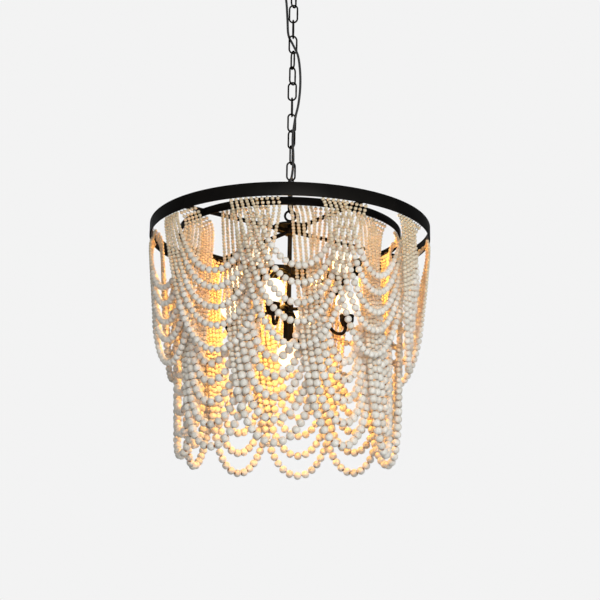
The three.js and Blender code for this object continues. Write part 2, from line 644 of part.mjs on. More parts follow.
// One swag, a string of beads that goes to and fro between two groups of holes in its hoop.
// Its middle is at the given bearing, and each row hangs by its weight from far hole to far hole.
function swag(tier, bearing) {
  const { hoopRadius, hoopTop, hoopHeight, segments, count, drops, largeRadius, roundingShare } = tier;
  const facetShare = Math.cos(Math.PI / segments);
  const inside = (hoopRadius - HOOP_WALL) * facetShare - STRAND_GAP;
  const threadReach = inside - THREAD_RADIUS;
  const beadReach = inside - BEAD_TOP_RADIUS;
  const zoneTurn = 180 / count; // degrees from the swag's middle to the middle of a group of holes
  const holeTurn = THREE.MathUtils.radToDeg(HOLE_PITCH / hoopRadius);
  const beadLevel = hoopTop - hoopHeight;
  const outward = plan(bearing);
  const ways = [...STRAND_SHARES.map((share) => -share).reverse(), 0, ...STRAND_SHARES];
  const points = [];
  const radii = [];
  drops.forEach((drop, row) => {
    const halfTurn = zoneTurn + (row + 0.5) * holeTurn;
    const ends = [plan(bearing - halfTurn), plan(bearing + halfTurn)];
    const halfSpan = beadReach * Math.sin(THREE.MathUtils.degToRad(halfTurn));
    const sag = drop - (HOOP_TOP - beadLevel);
    const hang = hangingRow(halfSpan, sag, largeRadius);
    const start = ends[0].clone().multiplyScalar(beadReach);
    const end = ends[1].clone().multiplyScalar(beadReach);
    const strand = [];
    for (const way of ways) {
      const far = Math.abs(way);
      const { across, up } = hang(far);
      const share = ((Math.sign(way) * across) / halfSpan + 1) / 2;
      const depth = sag - up;
      const point = start.clone().lerp(end, share);
      point.multiplyScalar(1 + roundingShare * (beadReach / point.length() - 1));
      const aside = LAYER_OFFSET * Math.cos(Math.PI * share) - LAYER_INSET;
      point.addScaledVector(outward, aside * (1 - Math.exp(-depth / LAYER_DEPTH)));
      point.z = beadLevel - depth;
      strand.push({ point, radius: beadRadius(far, largeRadius) });
    }
    const holes = ends.map((direction) => {
      const hole = direction.clone().multiplyScalar(threadReach);
      hole.z = beadLevel + THREAD_HEIGHT;
      return { point: hole, radius: THREAD_RADIUS };
    });
    strand.unshift(holes[0]);
    strand.push(holes[1]);
    // The string comes back along the next row from the side where the last one ended.
    if (row % 2 === 1) strand.reverse();
    strand.forEach((ring) => {
      points.push(ring.point);
      radii.push(ring.radius);
    });
  });
  return tube(points, radii, 4, outward);
}

function addTier(name, tier) {
  for (let i = 0; i < tier.count; i++) {
    const number = String(i + 1).padStart(2, "0");
    const bearing = tier.firstBearing + (360 / tier.count) * i;
    addPiece(name + "_swag_" + number, swag(tier, bearing), paleWood);
  }
}

addPiece("ceiling_bar", ceilingBar(), blackMetal);
addPiece("canopy", canopy(), blackMetal);
addPiece("canopy_collar", canopyCollar(), blackMetal);
addPiece("canopy_loop", canopyLoop(), blackMetal);
addChain();
addPiece("cord", cord(), blackCord);
addPiece("stem_eye", stemEye(), blackMetal);
addPiece("hub_cap", hubCap(), blackMetal);
addPiece("stem", stem(), blackMetal);
const outerHoop = hoop(OUTER_HOOP_RADIUS, OUTER_HOOP_HEIGHT, HOOP_TOP, OUTER_HOOP_SEGMENTS);
const innerHoop = hoop(INNER_HOOP_RADIUS, INNER_HOOP_HEIGHT, INNER_HOOP_TOP, INNER_HOOP_SEGMENTS);
addPiece("outer_hoop", outerHoop, blackMetal);
addPiece("inner_hoop", innerHoop, blackMetal);
turnTo(addPiece("cross_bar_upper", crossBar(true), blackMetal), CROSS_BAR_BEARING);
turnTo(addPiece("cross_bar_lower", crossBar(false), blackMetal), CROSS_BAR_BEARING + 90);
addSpray("upper", UPPER_SPRAY_DROP, UPPER_SPRAY_BEARING);
addSpray("lower", LOWER_SPRAY_DROP, LOWER_SPRAY_BEARING);
addPiece("stem_lampholder", lampholder(), blackMetal);
const stemBulb = addPiece("stem_bulb", bulb(), warmGlass);
stemBulb.position.z = HOLDER_TOP - HOLDER_LENGTH;
stemBulb.rotation.x = Math.PI;

addTier("upper", {
  hoopRadius: OUTER_HOOP_RADIUS,
  hoopTop: HOOP_TOP,
  hoopHeight: OUTER_HOOP_HEIGHT,
  segments: OUTER_HOOP_SEGMENTS,
  count: OUTER_SWAGS,
  firstBearing: OUTER_SWAG_BEARING,
  drops: OUTER_ROW_DROPS,
  largeRadius: OUTER_BEAD_RADIUS,
  roundingShare: OUTER_ROUNDING_SHARE,
});
addTier("lower", {
  hoopRadius: INNER_HOOP_RADIUS,
  hoopTop: INNER_HOOP_TOP,
  hoopHeight: INNER_HOOP_HEIGHT,
  segments: INNER_HOOP_SEGMENTS,
  count: INNER_SWAGS,
  firstBearing: INNER_SWAG_BEARING,
  drops: INNER_ROW_DROPS,
  largeRadius: INNER_BEAD_RADIUS,
  roundingShare: INNER_ROUNDING_SHARE,
});

export default chandelier;
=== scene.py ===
"""A beaded chandelier on a chain: two hoops hung with crossing swags of washed wood beads, and nine
lit globe lamps inside. It is laid out as an add-on and run as a script. Metres, Z up. The origin is
the middle of the ceiling bar's top face, and a bearing of 0 degrees points to -Y."""

from typing import NamedTuple

import bpy
import numpy as np
from bpy.props import FloatProperty, FloatVectorProperty, PointerProperty
from mathutils import Matrix


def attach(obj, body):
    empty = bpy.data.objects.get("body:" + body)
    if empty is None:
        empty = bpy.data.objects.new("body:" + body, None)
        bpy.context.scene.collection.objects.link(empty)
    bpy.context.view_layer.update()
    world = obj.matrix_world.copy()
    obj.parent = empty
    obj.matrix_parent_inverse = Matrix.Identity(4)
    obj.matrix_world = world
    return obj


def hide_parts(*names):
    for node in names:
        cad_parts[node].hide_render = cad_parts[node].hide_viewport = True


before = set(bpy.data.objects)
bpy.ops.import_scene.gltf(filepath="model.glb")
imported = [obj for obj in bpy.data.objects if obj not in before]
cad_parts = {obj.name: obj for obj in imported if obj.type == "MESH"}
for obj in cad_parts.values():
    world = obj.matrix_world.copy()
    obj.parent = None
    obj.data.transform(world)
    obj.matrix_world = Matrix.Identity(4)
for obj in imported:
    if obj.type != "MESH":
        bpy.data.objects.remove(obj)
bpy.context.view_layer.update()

bl_info = {
    "name": "Beaded Chandelier",
    "version": (1, 0, 0),
    "blender": (4, 5, 0),
    "location": "3D View > Sidebar > Chandelier",
    "description": "Builds a two-tier beaded chandelier on a chain, piece by piece",
    "category": "Object",
}

# Clearances
SEAT_GAP = 0.0003
STRAND_GAP = 0.0005

# How far the edges of the turned and flat pieces are softened
CANOPY_EDGE = 0.0005
CANOPY_EDGE_STEPS = 2
COLLAR_EDGE = 0.001
CUP_EDGE = 0.001
CAP_EDGE = 0.0014
METAL_EDGE = 0.0006
THIN_EDGE = 0.0004
EDGE_STEPS = 3
EDGE_LIMIT_SHARE = 0.45

# Sides round the turned pieces and the tubes
HOOP_SIDES = 240
CANOPY_SIDES = 96
CAP_SIDES = 80
COLLAR_SIDES = 48
SMALL_SIDES = 40
PIPE_SIDES = 32
RING_STEPS = 48
RING_SIDES = 16
ARM_SIDES = 14
LINK_SIDES = 12
CORD_SIDES = 12
THREAD_SIDES = 6

# Angles in degrees above which an edge is shaded sharp
SHARP_ANGLE = 40.0
ROUND_SHARP_ANGLE = 60.0

# Ceiling bar, canopy, collar and loop
BAR_THICKNESS = 0.003
CANOPY_RADIUS = 0.060
CANOPY_HEIGHT = 0.025
CANOPY_WALL = 0.0015
CANOPY_RIM_HEIGHT = 0.006
CANOPY_FLAT_RADIUS = 0.033
CANOPY_CURVE_STEPS = 12
COLLAR_RADIUS = 0.011
COLLAR_HEIGHT = 0.008
COLLAR_WAIST = 0.002
NIPPLE_RADIUS = 0.005
LOOP_RADIUS = 0.010
LOOP_WIRE = 0.004

# Chain
LINK_COUNT = 15
LINK_WIRE = 0.0032
LINK_LENGTH = 0.0379
LINK_WIDTH = 0.018
LINK_TURNS = (-62, 56, -6, 86, 22, -68, 48, -15, 86, 24, -40, 74, 8, 125, 62)
LINK_BEND_STEPS = 16
LINK_STRAIGHT_STEPS = 10
WELD_LENGTH = 0.0022
WELD_SHARE = 0.1

# Stem, eye and cap
EYE_RADIUS = 0.0094
EYE_WIRE = 0.0042
EYE_COLLAR_RADIUS = 0.0075
EYE_COLLAR_HEIGHT = 0.007
EYE_COLLAR_TOP_INSET = 0.0012
EYE_COLLAR_TOP_TAPER = 0.0022
EYE_COLLAR_FOOT_INSET = 0.0006
EYE_COLLAR_FOOT_TAPER = 0.0012
EYE_SOCKET_DEPTH = 0.0045
CAP_RADIUS = 0.031
CAP_HEIGHT = 0.0077
CAP_WALL = 0.0018
CAP_RIM_HEIGHT = 0.0045
STEM_RADIUS = 0.004
STEM_BORE_RADIUS = 0.0026
SHOULDER_RADIUS = 0.009
SHOULDER_HEIGHT = 0.004

# Hoops and cross bars
OUTER_HOOP_RADIUS = 0.250
OUTER_HOOP_HEIGHT = 0.0235
HOOP_SPACING = 0.052
INNER_HOOP_RADIUS = OUTER_HOOP_RADIUS - HOOP_SPACING
INNER_HOOP_HEIGHT = 0.014
HOOP_WALL = 0.0025
CROSS_BAR_HEIGHT = 0.0075
CROSS_BAR_THICKNESS = 0.0025
CROSS_BAR_BEARING = 35.5
CROSS_BAR_EYE_RADIUS = 0.0085
CROSS_BAR_HALVED = (0.006, 0.014)
OUTER_HOOP_SEGMENTS = 72
INNER_HOOP_SEGMENTS = 50

# Lamp arms and their hubs. A groove is its heights above the hub's foot, or below its top
SPRAY_ARMS = 4
SPRAY_HUB_RADIUS = 0.008
SPRAY_HUB_HEIGHT = 0.020
SPRAY_DISC_RADIUS = 0.010
SPRAY_DISC_HEIGHT = 0.005
SPRAY_GROOVE_DEPTH = 0.0007
SPRAY_LOWER_GROOVE = (0.003, 0.0036, 0.0046, 0.0052)
SPRAY_UPPER_GROOVE = (0.002, 0.0014)
ARM_RADIUS = 0.003
ARM_REACH = 0.105
ARM_DROP = 0.037
ARM_DIP = 0.012
ARM_REACH_SHARES = (0.34, 0.62, 0.8, 0.93)
ARM_DROP_SHARES = (0.1, 0.62)
ARM_RISE_SHARE = 0.15
ARM_CUP_SHARE = 0.1
ARM_SAMPLES = 61

# Each spray's name, its drop below the upper hoop's top and its first arm's bearing
SPRAYS = (("upper", 0.082, -29.0), ("lower", 0.148, -15.0))

# Cups, lampholder and bulbs. A band is two heights above the foot or below the top
CUP_RADIUS = 0.013
CUP_FOOT_RADIUS = 0.008
CUP_FOOT_FLARE = 0.0012
CUP_FOOT_HEIGHT = 0.0028
CUP_HEIGHT = 0.020
CUP_RIM_DEPTH = 0.0006
CUP_RIM_BAND = (0.003, 0.0024)
CUP_BORE_DEPTH = 0.014
CUP_BORE_RADIUS = 0.0077
HOLDER_DROP = 0.161
HOLDER_RADIUS = 0.0095
HOLDER_LENGTH = 0.048
HOLDER_TOP_LENGTH = 0.014
HOLDER_THREAD_DEPTH = 0.008
HOLDER_WAIST_DEPTH = 0.0007
HOLDER_FOOT_BAND = (0.003, 0.0038)
HOLDER_TOP_BAND = (0.0138, 0.013)
BULB_RADIUS = 0.020
BULB_CAP_RADIUS = 0.007
BULB_CAP_LENGTH = 0.013
BULB_CAP_FOOT_RADIUS = 0.0045
BULB_CAP_STRAIGHT = (-0.0115, -0.0002)
BULB_NECK_LENGTH = 0.003
BULB_NECK_LEVELS = (0.0004, 0.0018)
BULB_NECK_FLARE = 0.0003
BULB_GLOBE_START_SHARE = 1.25
BULB_GLOBE_STEPS = 28
BULB_LIGHT_SHARE = 1.06

# Lights on the axis: how far below the upper hoop's top, and their shares of the inner power
INNER_GLOW_DROPS = (0.05, 0.115, 0.29)
INNER_GLOW_SHARES = (1.0, 1.0, 0.4)
INNER_GLOW_RADIUS = 0.03

# Cord
CORD_RADIUS = 0.0022
CORD_SAMPLES = 900
CORD_POINT_STEP = 0.001

# Swags: holes in the hoops, the thread, and the aside step where strands cross
HOLE_PITCH = 0.009
THREAD_HEIGHT = 0.005
THREAD_HOLE_REACH = 0.0022
THREAD_SAMPLES = 90
LAYER_OFFSET = 0.011
LAYER_INSET = 0.004
LAYER_DEPTH = 0.009

# How finely a hanging row is worked out, and the search for its steepness
HANG_STEPS = 240
HANG_STEEPNESS = (0.01, 1000.0)
HANG_HALVINGS = 60

# Beads. The rings are angles in degrees from the drill hole, the large and small shares are of half a
# row, the middle share is of the largest radius, and the count and end shares are of one bead
BEAD_TOP_RADIUS = 0.003
BEAD_LARGE_SHARE = 0.4
BEAD_SMALL_SHARE = 0.9
BEAD_MIDDLE_SHARE = 0.72
BEAD_LENGTH_SHARE = 0.92
BEAD_FULLNESS = 0.85
BEAD_SIDES = 14
BEAD_RINGS = (15, 38, 64, 90, 116, 142, 165)
BEAD_ROW_SAMPLES = 4001
BEAD_COUNT_SHARE = 0.35
BEAD_END_SHARE = 0.3
BEAD_AHEAD = 0.0005
BEAD_SIZE_DEVIATION = 0.6
BEAD_SIZE_LIMITS = (-1.5, 1)
BEAD_GRAIN_REACH = 40
BEAD_TONE_POWER = 1.6
BEAD_BARE_RADIUS = 0.0055
BEAD_BARE_FADE = 0.0025

# Levels
CANOPY_FOOT = -CANOPY_HEIGHT
COLLAR_TOP = CANOPY_FOOT - SEAT_GAP
LOOP_CENTRE = COLLAR_TOP - COLLAR_HEIGHT - LOOP_RADIUS - LOOP_WIRE / 2 + SEAT_GAP
LINK_BEND = (LINK_WIDTH - LINK_WIRE) / 2
LINK_REACH = LINK_LENGTH - LINK_WIRE
LINK_PITCH = LINK_REACH - LINK_WIRE - SEAT_GAP
FIRST_LINK_TOP = LOOP_CENTRE - LOOP_RADIUS + (LOOP_WIRE + LINK_WIRE) / 2 + SEAT_GAP
LAST_LINK_FOOT = FIRST_LINK_TOP - (LINK_COUNT - 1) * LINK_PITCH - LINK_REACH
EYE_CENTRE = LAST_LINK_FOOT + (EYE_WIRE + LINK_WIRE) / 2 + SEAT_GAP - EYE_RADIUS
EYE_COLLAR_TOP = EYE_CENTRE - EYE_RADIUS
CAP_TOP = EYE_COLLAR_TOP - EYE_COLLAR_HEIGHT - SEAT_GAP
HOOP_TOP = CAP_TOP - CAP_HEIGHT - SEAT_GAP
INNER_HOOP_TOP = HOOP_TOP - CROSS_BAR_HEIGHT - SEAT_GAP
STEM_TOP = EYE_COLLAR_TOP - EYE_COLLAR_HEIGHT + EYE_SOCKET_DEPTH - SEAT_GAP
SHOULDER_TOP = HOOP_TOP - CROSS_BAR_HEIGHT - SEAT_GAP
HOLDER_TOP = HOOP_TOP - HOLDER_DROP
STEM_FOOT = HOLDER_TOP - HOLDER_THREAD_DEPTH + SEAT_GAP


class Tier(NamedTuple):
    """A hoop and the swags that hang in it. A row's drop is its foot below the upper hoop's top."""

    name: str
    hoop_radius: float
    hoop_top: float
    hoop_height: float
    hoop_segments: int
    swags: int
    first_bearing: float
    row_drops: tuple
    bead_radius: float
    rounding_share: float
    step_shares: tuple
    seed: int


UPPER_TIER = Tier(
    name="upper",
    hoop_radius=OUTER_HOOP_RADIUS,
    hoop_top=HOOP_TOP,
    hoop_height=OUTER_HOOP_HEIGHT,
    hoop_segments=OUTER_HOOP_SEGMENTS,
    swags=10,
    first_bearing=3.6,
    row_drops=(0.135, 0.163, 0.196, 0.226, 0.266),
    bead_radius=0.006,
    rounding_share=0.0,
    step_shares=(0.0, 0.38, 0.48, 0.85),
    seed=250,
)
LOWER_TIER = Tier(
    name="lower",
    hoop_radius=INNER_HOOP_RADIUS,
    hoop_top=INNER_HOOP_TOP,
    hoop_height=INNER_HOOP_HEIGHT,
    hoop_segments=INNER_HOOP_SEGMENTS,
    swags=10,
    first_bearing=-6.6,
    row_drops=(0.279, 0.309, 0.343, 0.380, 0.417),
    bead_radius=0.0073,
    rounding_share=0.75,
    step_shares=(0.0, 0.26, 0.34, 0.75),
    seed=198,
)

# The cord's route from the canopy down to the cap
CORD_ROUTE = (
    (-0.0240, 0.0070, -0.0190),
    (-0.0235, 0.0070, -0.0450),
    (-0.0180, 0.0065, -0.0750),
    (-0.0135, 0.0060, -0.1050),
    (-0.0110, 0.0060, -0.1400),
    (-0.0085, 0.0058, -0.1720),
    (0.0000, 0.0000, -0.1933),
    (0.0090, -0.0055, -0.2160),
    (0.0135, -0.0060, -0.2450),
    (0.0145, -0.0060, -0.2800),
    (0.0115, -0.0060, -0.3150),
    (0.0070, -0.0074, -0.3380),
    (0.0045, -0.0082, -0.3560),
    (0.0024, -0.0086, -0.3740),
    (0.0022, -0.0088, -0.3920),
    (0.0036, -0.0090, -0.4100),
    (0.0038, -0.0088, -0.4300),
    (0.0026, -0.0086, -0.4480),
    (0.0000, -0.0086, -0.4660),
    (-0.0008, -0.0088, -0.4800),
    (0.0016, -0.0092, -0.4940),
    (0.0060, -0.0098, -0.5060),
    (0.0115, -0.0108, -0.5200),
    (0.0152, -0.0120, -0.5340),
    (0.0160, -0.0125, -0.5490),
)

X_AXIS = np.array([1.0, 0.0, 0.0])
Y_AXIS = np.array([0.0, 1.0, 0.0])
Z_AXIS = np.array([0.0, 0.0, 1.0])
BODIES = ["ceiling_mounting"] + ["link_%02d" % (i + 1) for i in range(LINK_COUNT)] + ["chandelier"]


# Shapes


def unit(v):
    """Each vector over its length."""
    return v / np.linalg.norm(v, axis=-1, keepdims=True)


def plan(bearing):
    """The direction (sin b, -cos b, 0) on the floor plan of a bearing b in degrees."""
    turn = np.radians(bearing)
    return np.stack([np.sin(turn), -np.cos(turn), np.zeros_like(turn)], axis=-1)


def grid_faces(rows, columns, wrap_rows, wrap_columns):
    """Quads of a grid: (i, j), (i, j + 1), (i + 1, j + 1), (i + 1, j), with wrapping where asked."""
    i = np.arange(rows if wrap_rows else rows - 1)[:, None]
    j = np.arange(columns if wrap_columns else columns - 1)[None, :]
    a = i * columns + j
    b = i * columns + (j + 1) % columns
    c = (i + 1) % rows * columns + (j + 1) % columns
    d = (i + 1) % rows * columns + j
    return np.stack([a, b, c, d], axis=-1).reshape(-1, 4)


def facing_out(points, faces):
    """The faces, all turned round if the volume that they enclose comes out below zero."""
    volume = 0.0
    for group in faces:
        for k in range(1, group.shape[1] - 1):
            a, b, c = (points[group[:, n]] for n in (0, k, k + 1))
            volume += float(np.einsum("ij,ij->", a, np.cross(b, c)))
    return faces if volume > 0 else [group[:, ::-1] for group in faces]


def shell(points, faces):
    """A closed surface as its points and its groups of faces, turned outwards."""
    faces = [group for group in faces if len(group)]
    middle = points.mean(axis=0)
    return points, facing_out(points - middle, faces)


def joined(shells):
    """Several shells as one."""
    points, faces, count = [], [], 0
    for p, groups in shells:
        points.append(p)
        faces += [group + count for group in groups]
        count += len(p)
    return np.concatenate(points), faces


def moved(one, offset=(0.0, 0.0, 0.0), bearing=None):
    """A shell turned about Z, so that its +X points to a bearing, and then moved."""
    points, faces = one
    if bearing is not None:
        out = plan(bearing)
        across = np.array([-out[1], out[0], 0.0])
        points = points[:, :1] * out + points[:, 1:2] * across + points[:, 2:] * Z_AXIS
    return points + np.array(offset), faces


def softened(profile, radius, closed=False, steps=EDGE_STEPS):
    """A profile whose corners P between A and B become the curves (1-t)^2 P_a + 2t(1-t) P + t^2 P_b,
    where P_a and P_b lie on the two sides at the radius from P, or at a share of a shorter side."""
    p = np.array(profile, float)
    if closed:
        before, corner, after = np.roll(p, 1, 0), p, np.roll(p, -1, 0)
    else:
        before, corner, after = p[:-2], p[1:-1], p[2:]
    back, ahead = before - corner, after - corner
    size_back = np.linalg.norm(back, axis=1, keepdims=True)
    size_ahead = np.linalg.norm(ahead, axis=1, keepdims=True)
    first = corner + back / size_back * np.minimum(radius, EDGE_LIMIT_SHARE * size_back)
    last = corner + ahead / size_ahead * np.minimum(radius, EDGE_LIMIT_SHARE * size_ahead)
    t = np.linspace(0, 1, steps + 1)[None, :, None]
    bend = (1 - t) ** 2 * first[:, None] + 2 * t * (1 - t) * corner[:, None] + t**2 * last[:, None]
    bend = bend.reshape(-1, 2)
    return bend if closed else np.concatenate([p[:1], bend, p[-1:]])


def turned(profile, steps, closed=False):
    """A profile of (radius, height) turned about Z: (i, j) -> (r_i cos(2 pi j / n), r_i sin(2 pi j / n),
    z_i). It closes on itself, or its two ends lie on the axis and become poles."""
    profile = np.array(profile, float)
    angle = 2 * np.pi * np.arange(steps) / steps
    rings = profile if closed else profile[1:-1]
    across = rings[:, :1]
    heights = np.repeat(rings[:, 1:], steps, axis=1)
    grid = np.stack([across * np.cos(angle), across * np.sin(angle), heights], axis=-1)
    points = grid.reshape(-1, 3)
    faces = [grid_faces(len(rings), steps, closed, True)]
    if not closed:
        j = np.arange(steps)
        last = (len(rings) - 1) * steps
        poles = np.array([[0.0, 0.0, profile[0, 1]], [0.0, 0.0, profile[-1, 1]]])
        first_pole = np.full(steps, len(points))
        faces.append(np.stack([(j + 1) % steps, j, first_pole], axis=1))
        faces.append(np.stack([last + j, last + (j + 1) % steps, first_pole + 1], axis=1))
        points = np.concatenate([points, poles])
    return shell(points, faces)


def tube(line, radii, sides, side, closed=False):
    """A round section carried along a line: (i, j) -> line_i + radius_i (cos(2 pi j / n) across_i +
    sin(2 pi j / n) up_i), where across_i is the given side made square to the line there. Open ends get
    a face."""
    ahead = np.roll(line, -1, 0) - np.roll(line, 1, 0) if closed else np.gradient(line, axis=0)
    along = unit(ahead)
    across = unit(side - (along @ side)[:, None] * along)
    up = np.cross(along, across)
    angle = (2 * np.pi * np.arange(sides) / sides)[None, :, None]
    radii = np.broadcast_to(radii, len(line))[:, None, None]
    grid = line[:, None] + radii * (np.cos(angle) * across[:, None] + np.sin(angle) * up[:, None])
    faces = [grid_faces(len(line), sides, closed, True)]
    if not closed:
        j = np.arange(sides)
        faces.append(j[None, ::-1])
        faces.append((len(line) - 1) * sides + j[None, :])
    return shell(grid.reshape(-1, 3), faces)


def carried(section, start, end, across, up):
    """A flat section of (across, up) pairs carried straight from start to end, a face at each end."""
    ends = np.array([start, end], float)
    grid = ends[:, None] + section[None, :, :1] * across + section[None, :, 1:] * up
    count = len(section)
    j = np.arange(count)
    faces = [grid_faces(2, count, False, True), j[None, ::-1], count + j[None, :]]
    return shell(grid.reshape(-1, 3), faces)


def oblong(width, height, radius):
    """The outline of a rectangle about the origin, its corners softened."""
    w, h = width / 2, height / 2
    return softened([[-w, -h], [w, -h], [w, h], [-w, h]], radius, closed=True)


def upright_ring(radius, wire_radius, level):
    """A ring of round wire in the XZ plane: j -> (r cos(2 pi j / n), 0, level + r sin(2 pi j / n))."""
    angle = 2 * np.pi * np.arange(RING_STEPS) / RING_STEPS
    line = np.stack([radius * np.cos(angle), 0 * angle, level + radius * np.sin(angle)], axis=1)
    return tube(line, wire_radius, RING_SIDES, Y_AXIS, closed=True)


def smooth_line(points, samples):
    """The centripetal Catmull-Rom curve through points, at evenly spread parameters: between two points
    it is the Hermite curve whose tangents come from the square roots of the neighbouring chords."""
    p = np.array(points, float)
    p = np.concatenate([[2 * p[0] - p[1]], p, [2 * p[-1] - p[-2]]])
    u = np.linspace(0, len(points) - 1, samples)
    i = np.minimum(u.astype(int), len(points) - 2)
    t = (u - i)[:, None]
    p0, p1, p2, p3 = p[i], p[i + 1], p[i + 2], p[i + 3]
    chords = (p1 - p0, p2 - p1, p3 - p2)
    d0, d1, d2 = (np.sqrt(np.linalg.norm(chord, axis=1, keepdims=True)) for chord in chords)
    m1 = ((p1 - p0) / d0 - (p2 - p0) / (d0 + d1) + (p2 - p1) / d1) * d1
    m2 = ((p2 - p1) / d1 - (p3 - p1) / (d1 + d2) + (p3 - p2) / d2) * d1
    return (
        (2 * t**3 - 3 * t**2 + 1) * p1
        + (t**3 - 2 * t**2 + t) * m1
        + (3 * t**2 - 2 * t**3) * p2
        + (t**3 - t**2) * m2
    )


def lengths_along(line):
    """How far along a line each of its points is."""
    return np.concatenate([[0], np.cumsum(np.linalg.norm(np.diff(line, axis=0), axis=1))])


def even(line, count):
    """The same line with its points evenly spread along its length."""
    along = lengths_along(line)
    at = np.linspace(0, along[-1], count)
    return np.stack([np.interp(at, along, line[:, k]) for k in range(3)], axis=1)


# Objects


def put(name, one, materials, face_material=None, numbers=None, vectors=None, sharp=SHARP_ANGLE):
    """A mesh object at the origin from a shell, with its materials and point attributes."""
    points, groups = one
    corners = np.concatenate([group.ravel() for group in groups]).astype(np.int32)
    sizes = np.concatenate([np.full(len(group), group.shape[1]) for group in groups])
    starts = np.concatenate([[0], np.cumsum(sizes)[:-1]]).astype(np.int32)
    mesh = bpy.data.meshes.new(name)
    mesh.vertices.add(len(points))
    mesh.vertices.foreach_set("co", points.astype(np.float32).ravel())
    mesh.loops.add(len(corners))
    mesh.loops.foreach_set("vertex_index", corners)
    mesh.polygons.add(len(sizes))
    mesh.polygons.foreach_set("loop_start", starts)
    mesh.polygons.foreach_set("use_smooth", np.ones(len(sizes), bool))
    for material in materials:
        mesh.materials.append(material)
    if face_material is not None:
        mesh.polygons.foreach_set("material_index", face_material.astype(np.int32))
    mesh.update(calc_edges=True)
    if mesh.validate():
        raise RuntimeError("the mesh of %s had faults" % name)
    if sharp is not None:
        mesh.set_sharp_from_angle(angle=np.radians(sharp))
    for key, values in (numbers or {}).items():
        mesh.attributes.new(key, "FLOAT", "POINT").data.foreach_set("value", values.astype(np.float32))
    for key, values in (vectors or {}).items():
        data = mesh.attributes.new(key, "FLOAT_VECTOR", "POINT").data
        data.foreach_set("vector", values.astype(np.float32).ravel())
    obj = bpy.data.objects.new(name, mesh)
    bpy.context.scene.collection.objects.link(obj)
    return obj


def settle(obj, body, slot, *nodes):
    """The piece rides on its body and stands for its nodes, which are hidden. The slot is not used."""
    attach(obj, body)
    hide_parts(*nodes)


def metal_piece(name, one, material, body, node):
    """A black metal piece that stands for one node."""
    settle(put(name, one, [material]), body, "black_metal", node)


# Finishes. A noise is its scale, detail and roughness, and a bump its strength and height

WHITE = (1.0, 1.0, 1.0)
METAL_CLOUD_NOISE = (38.0, 3.0)
METAL_CLOUD_RANGE = (0.3, 0.7)
METAL_PEEL_NOISE = (1500.0, 2.0)
METAL_ROUGHNESS_SPREAD = (-0.06, 0.08)
METAL_TINT = (0.1, 0.1, 0.1)
METAL_BUMP = (0.18, 0.0002)
GRAIN_STRETCH = (5.5, 5.5, 0.9)
GRAIN_NOISE = (1.0, 4.0, 0.6)
GRAIN_RANGE = (0.38, 0.72)
GRAIN_BUMP = (0.25, 0.0004)
BLOTCH_NOISE = (1.1, 2.0)
BLOTCH_RANGE = (0.3, 0.7)
# Where a bead's ends darken to the rim colour, as shares of its half length: partly bare wood at the
# drill hole, partly painted shade between touching beads
RIM_AND_GAP_SHADE_RANGE = (0.92, 0.965)
BEAD_ROUGHNESS = (0.58, 0.78)
BEAD_SPECULAR = 0.3
THREAD_NOISE = (2200.0, 1.0)
THREAD_COLOURS = ((0.05, 0.03, 0.02), (0.13, 0.09, 0.06))
THREAD_ROUGHNESS = 0.8
BRAID_TURN = 0.785
BRAID_WAVE = {"Scale": 1.6, "Distortion": 0.4}
BRAID_COLOURS = ((0.003, 0.003, 0.003), (0.010, 0.0095, 0.009))
BRAID_ROUGHNESS = 0.75
BRAID_BUMP = (0.5, 0.0003)
BRAID_PITCH = 0.0023
BRAID_BAND_SIDES = 2.0
GLASS_NOISE = (160.0, 2.0)
GLASS_COLOUR = (0.9, 0.86, 0.78)
GLASS_ROUGHNESS = 0.35
GLASS_DIM_SHARE = 0.96
SCREW_STRETCH = (40.0, 40.0, 2500.0)
SCREW_NOISE = (1.0, 1.0)
SCREW_COLOURS = ((0.42, 0.40, 0.37), (0.6, 0.58, 0.54))
SCREW_ROUGHNESS = 0.35


def new_node(tree, kind, values=None, **settings):
    """A shader node with its settings and the values of its named inputs."""
    node = tree.nodes.new(kind)
    for key, value in settings.items():
        setattr(node, key, value)
    for key, value in (values or {}).items():
        node.inputs[key].default_value = value
    return node


def blank(name):
    """An empty material with a Principled shader. Returns the material, its tree and the shader."""
    material = bpy.data.materials.get(name)
    if material is None:
        material = bpy.data.materials.new(name)
    material.use_nodes = True
    tree = material.node_tree
    tree.nodes.clear()
    shader = new_node(tree, "ShaderNodeBsdfPrincipled")
    output = new_node(tree, "ShaderNodeOutputMaterial")
    tree.links.new(shader.outputs["BSDF"], output.inputs["Surface"])
    return material, tree, shader


def full(colour):
    """A colour with its opacity."""
    return (*colour, 1.0)


def object_place(tree):
    """Where a point is in the object's own coordinates."""
    return new_node(tree, "ShaderNodeTexCoord").outputs["Object"]


def attribute(tree, name, output="Fac"):
    """An attribute of the mesh's points."""
    return new_node(tree, "ShaderNodeAttribute", attribute_name=name).outputs[output]


def mapped(tree, vector, values):
    """A vector that is scaled or turned by the named values."""
    node = new_node(tree, "ShaderNodeMapping", values)
    tree.links.new(vector, node.inputs["Vector"])
    return node.outputs["Vector"]


def mixed(tree, share, first, second):
    """A colour that goes from the first to the second with a share."""
    mix = new_node(tree, "ShaderNodeMix", data_type="RGBA")
    mix.inputs["A"].default_value = full(first)
    mix.inputs["B"].default_value = full(second)
    tree.links.new(share, mix.inputs["Factor"])
    return mix.outputs["Result"]


def toned(tree, colour, share, tone):
    """A colour that is multiplied by a tone, as far as a share says."""
    mix = new_node(tree, "ShaderNodeMix", data_type="RGBA", blend_type="MULTIPLY")
    tree.links.new(colour, mix.inputs["A"])
    tree.links.new(mixed(tree, share, WHITE, tone), mix.inputs["B"])
    mix.inputs["Factor"].default_value = 1.0
    return mix.outputs["Result"]


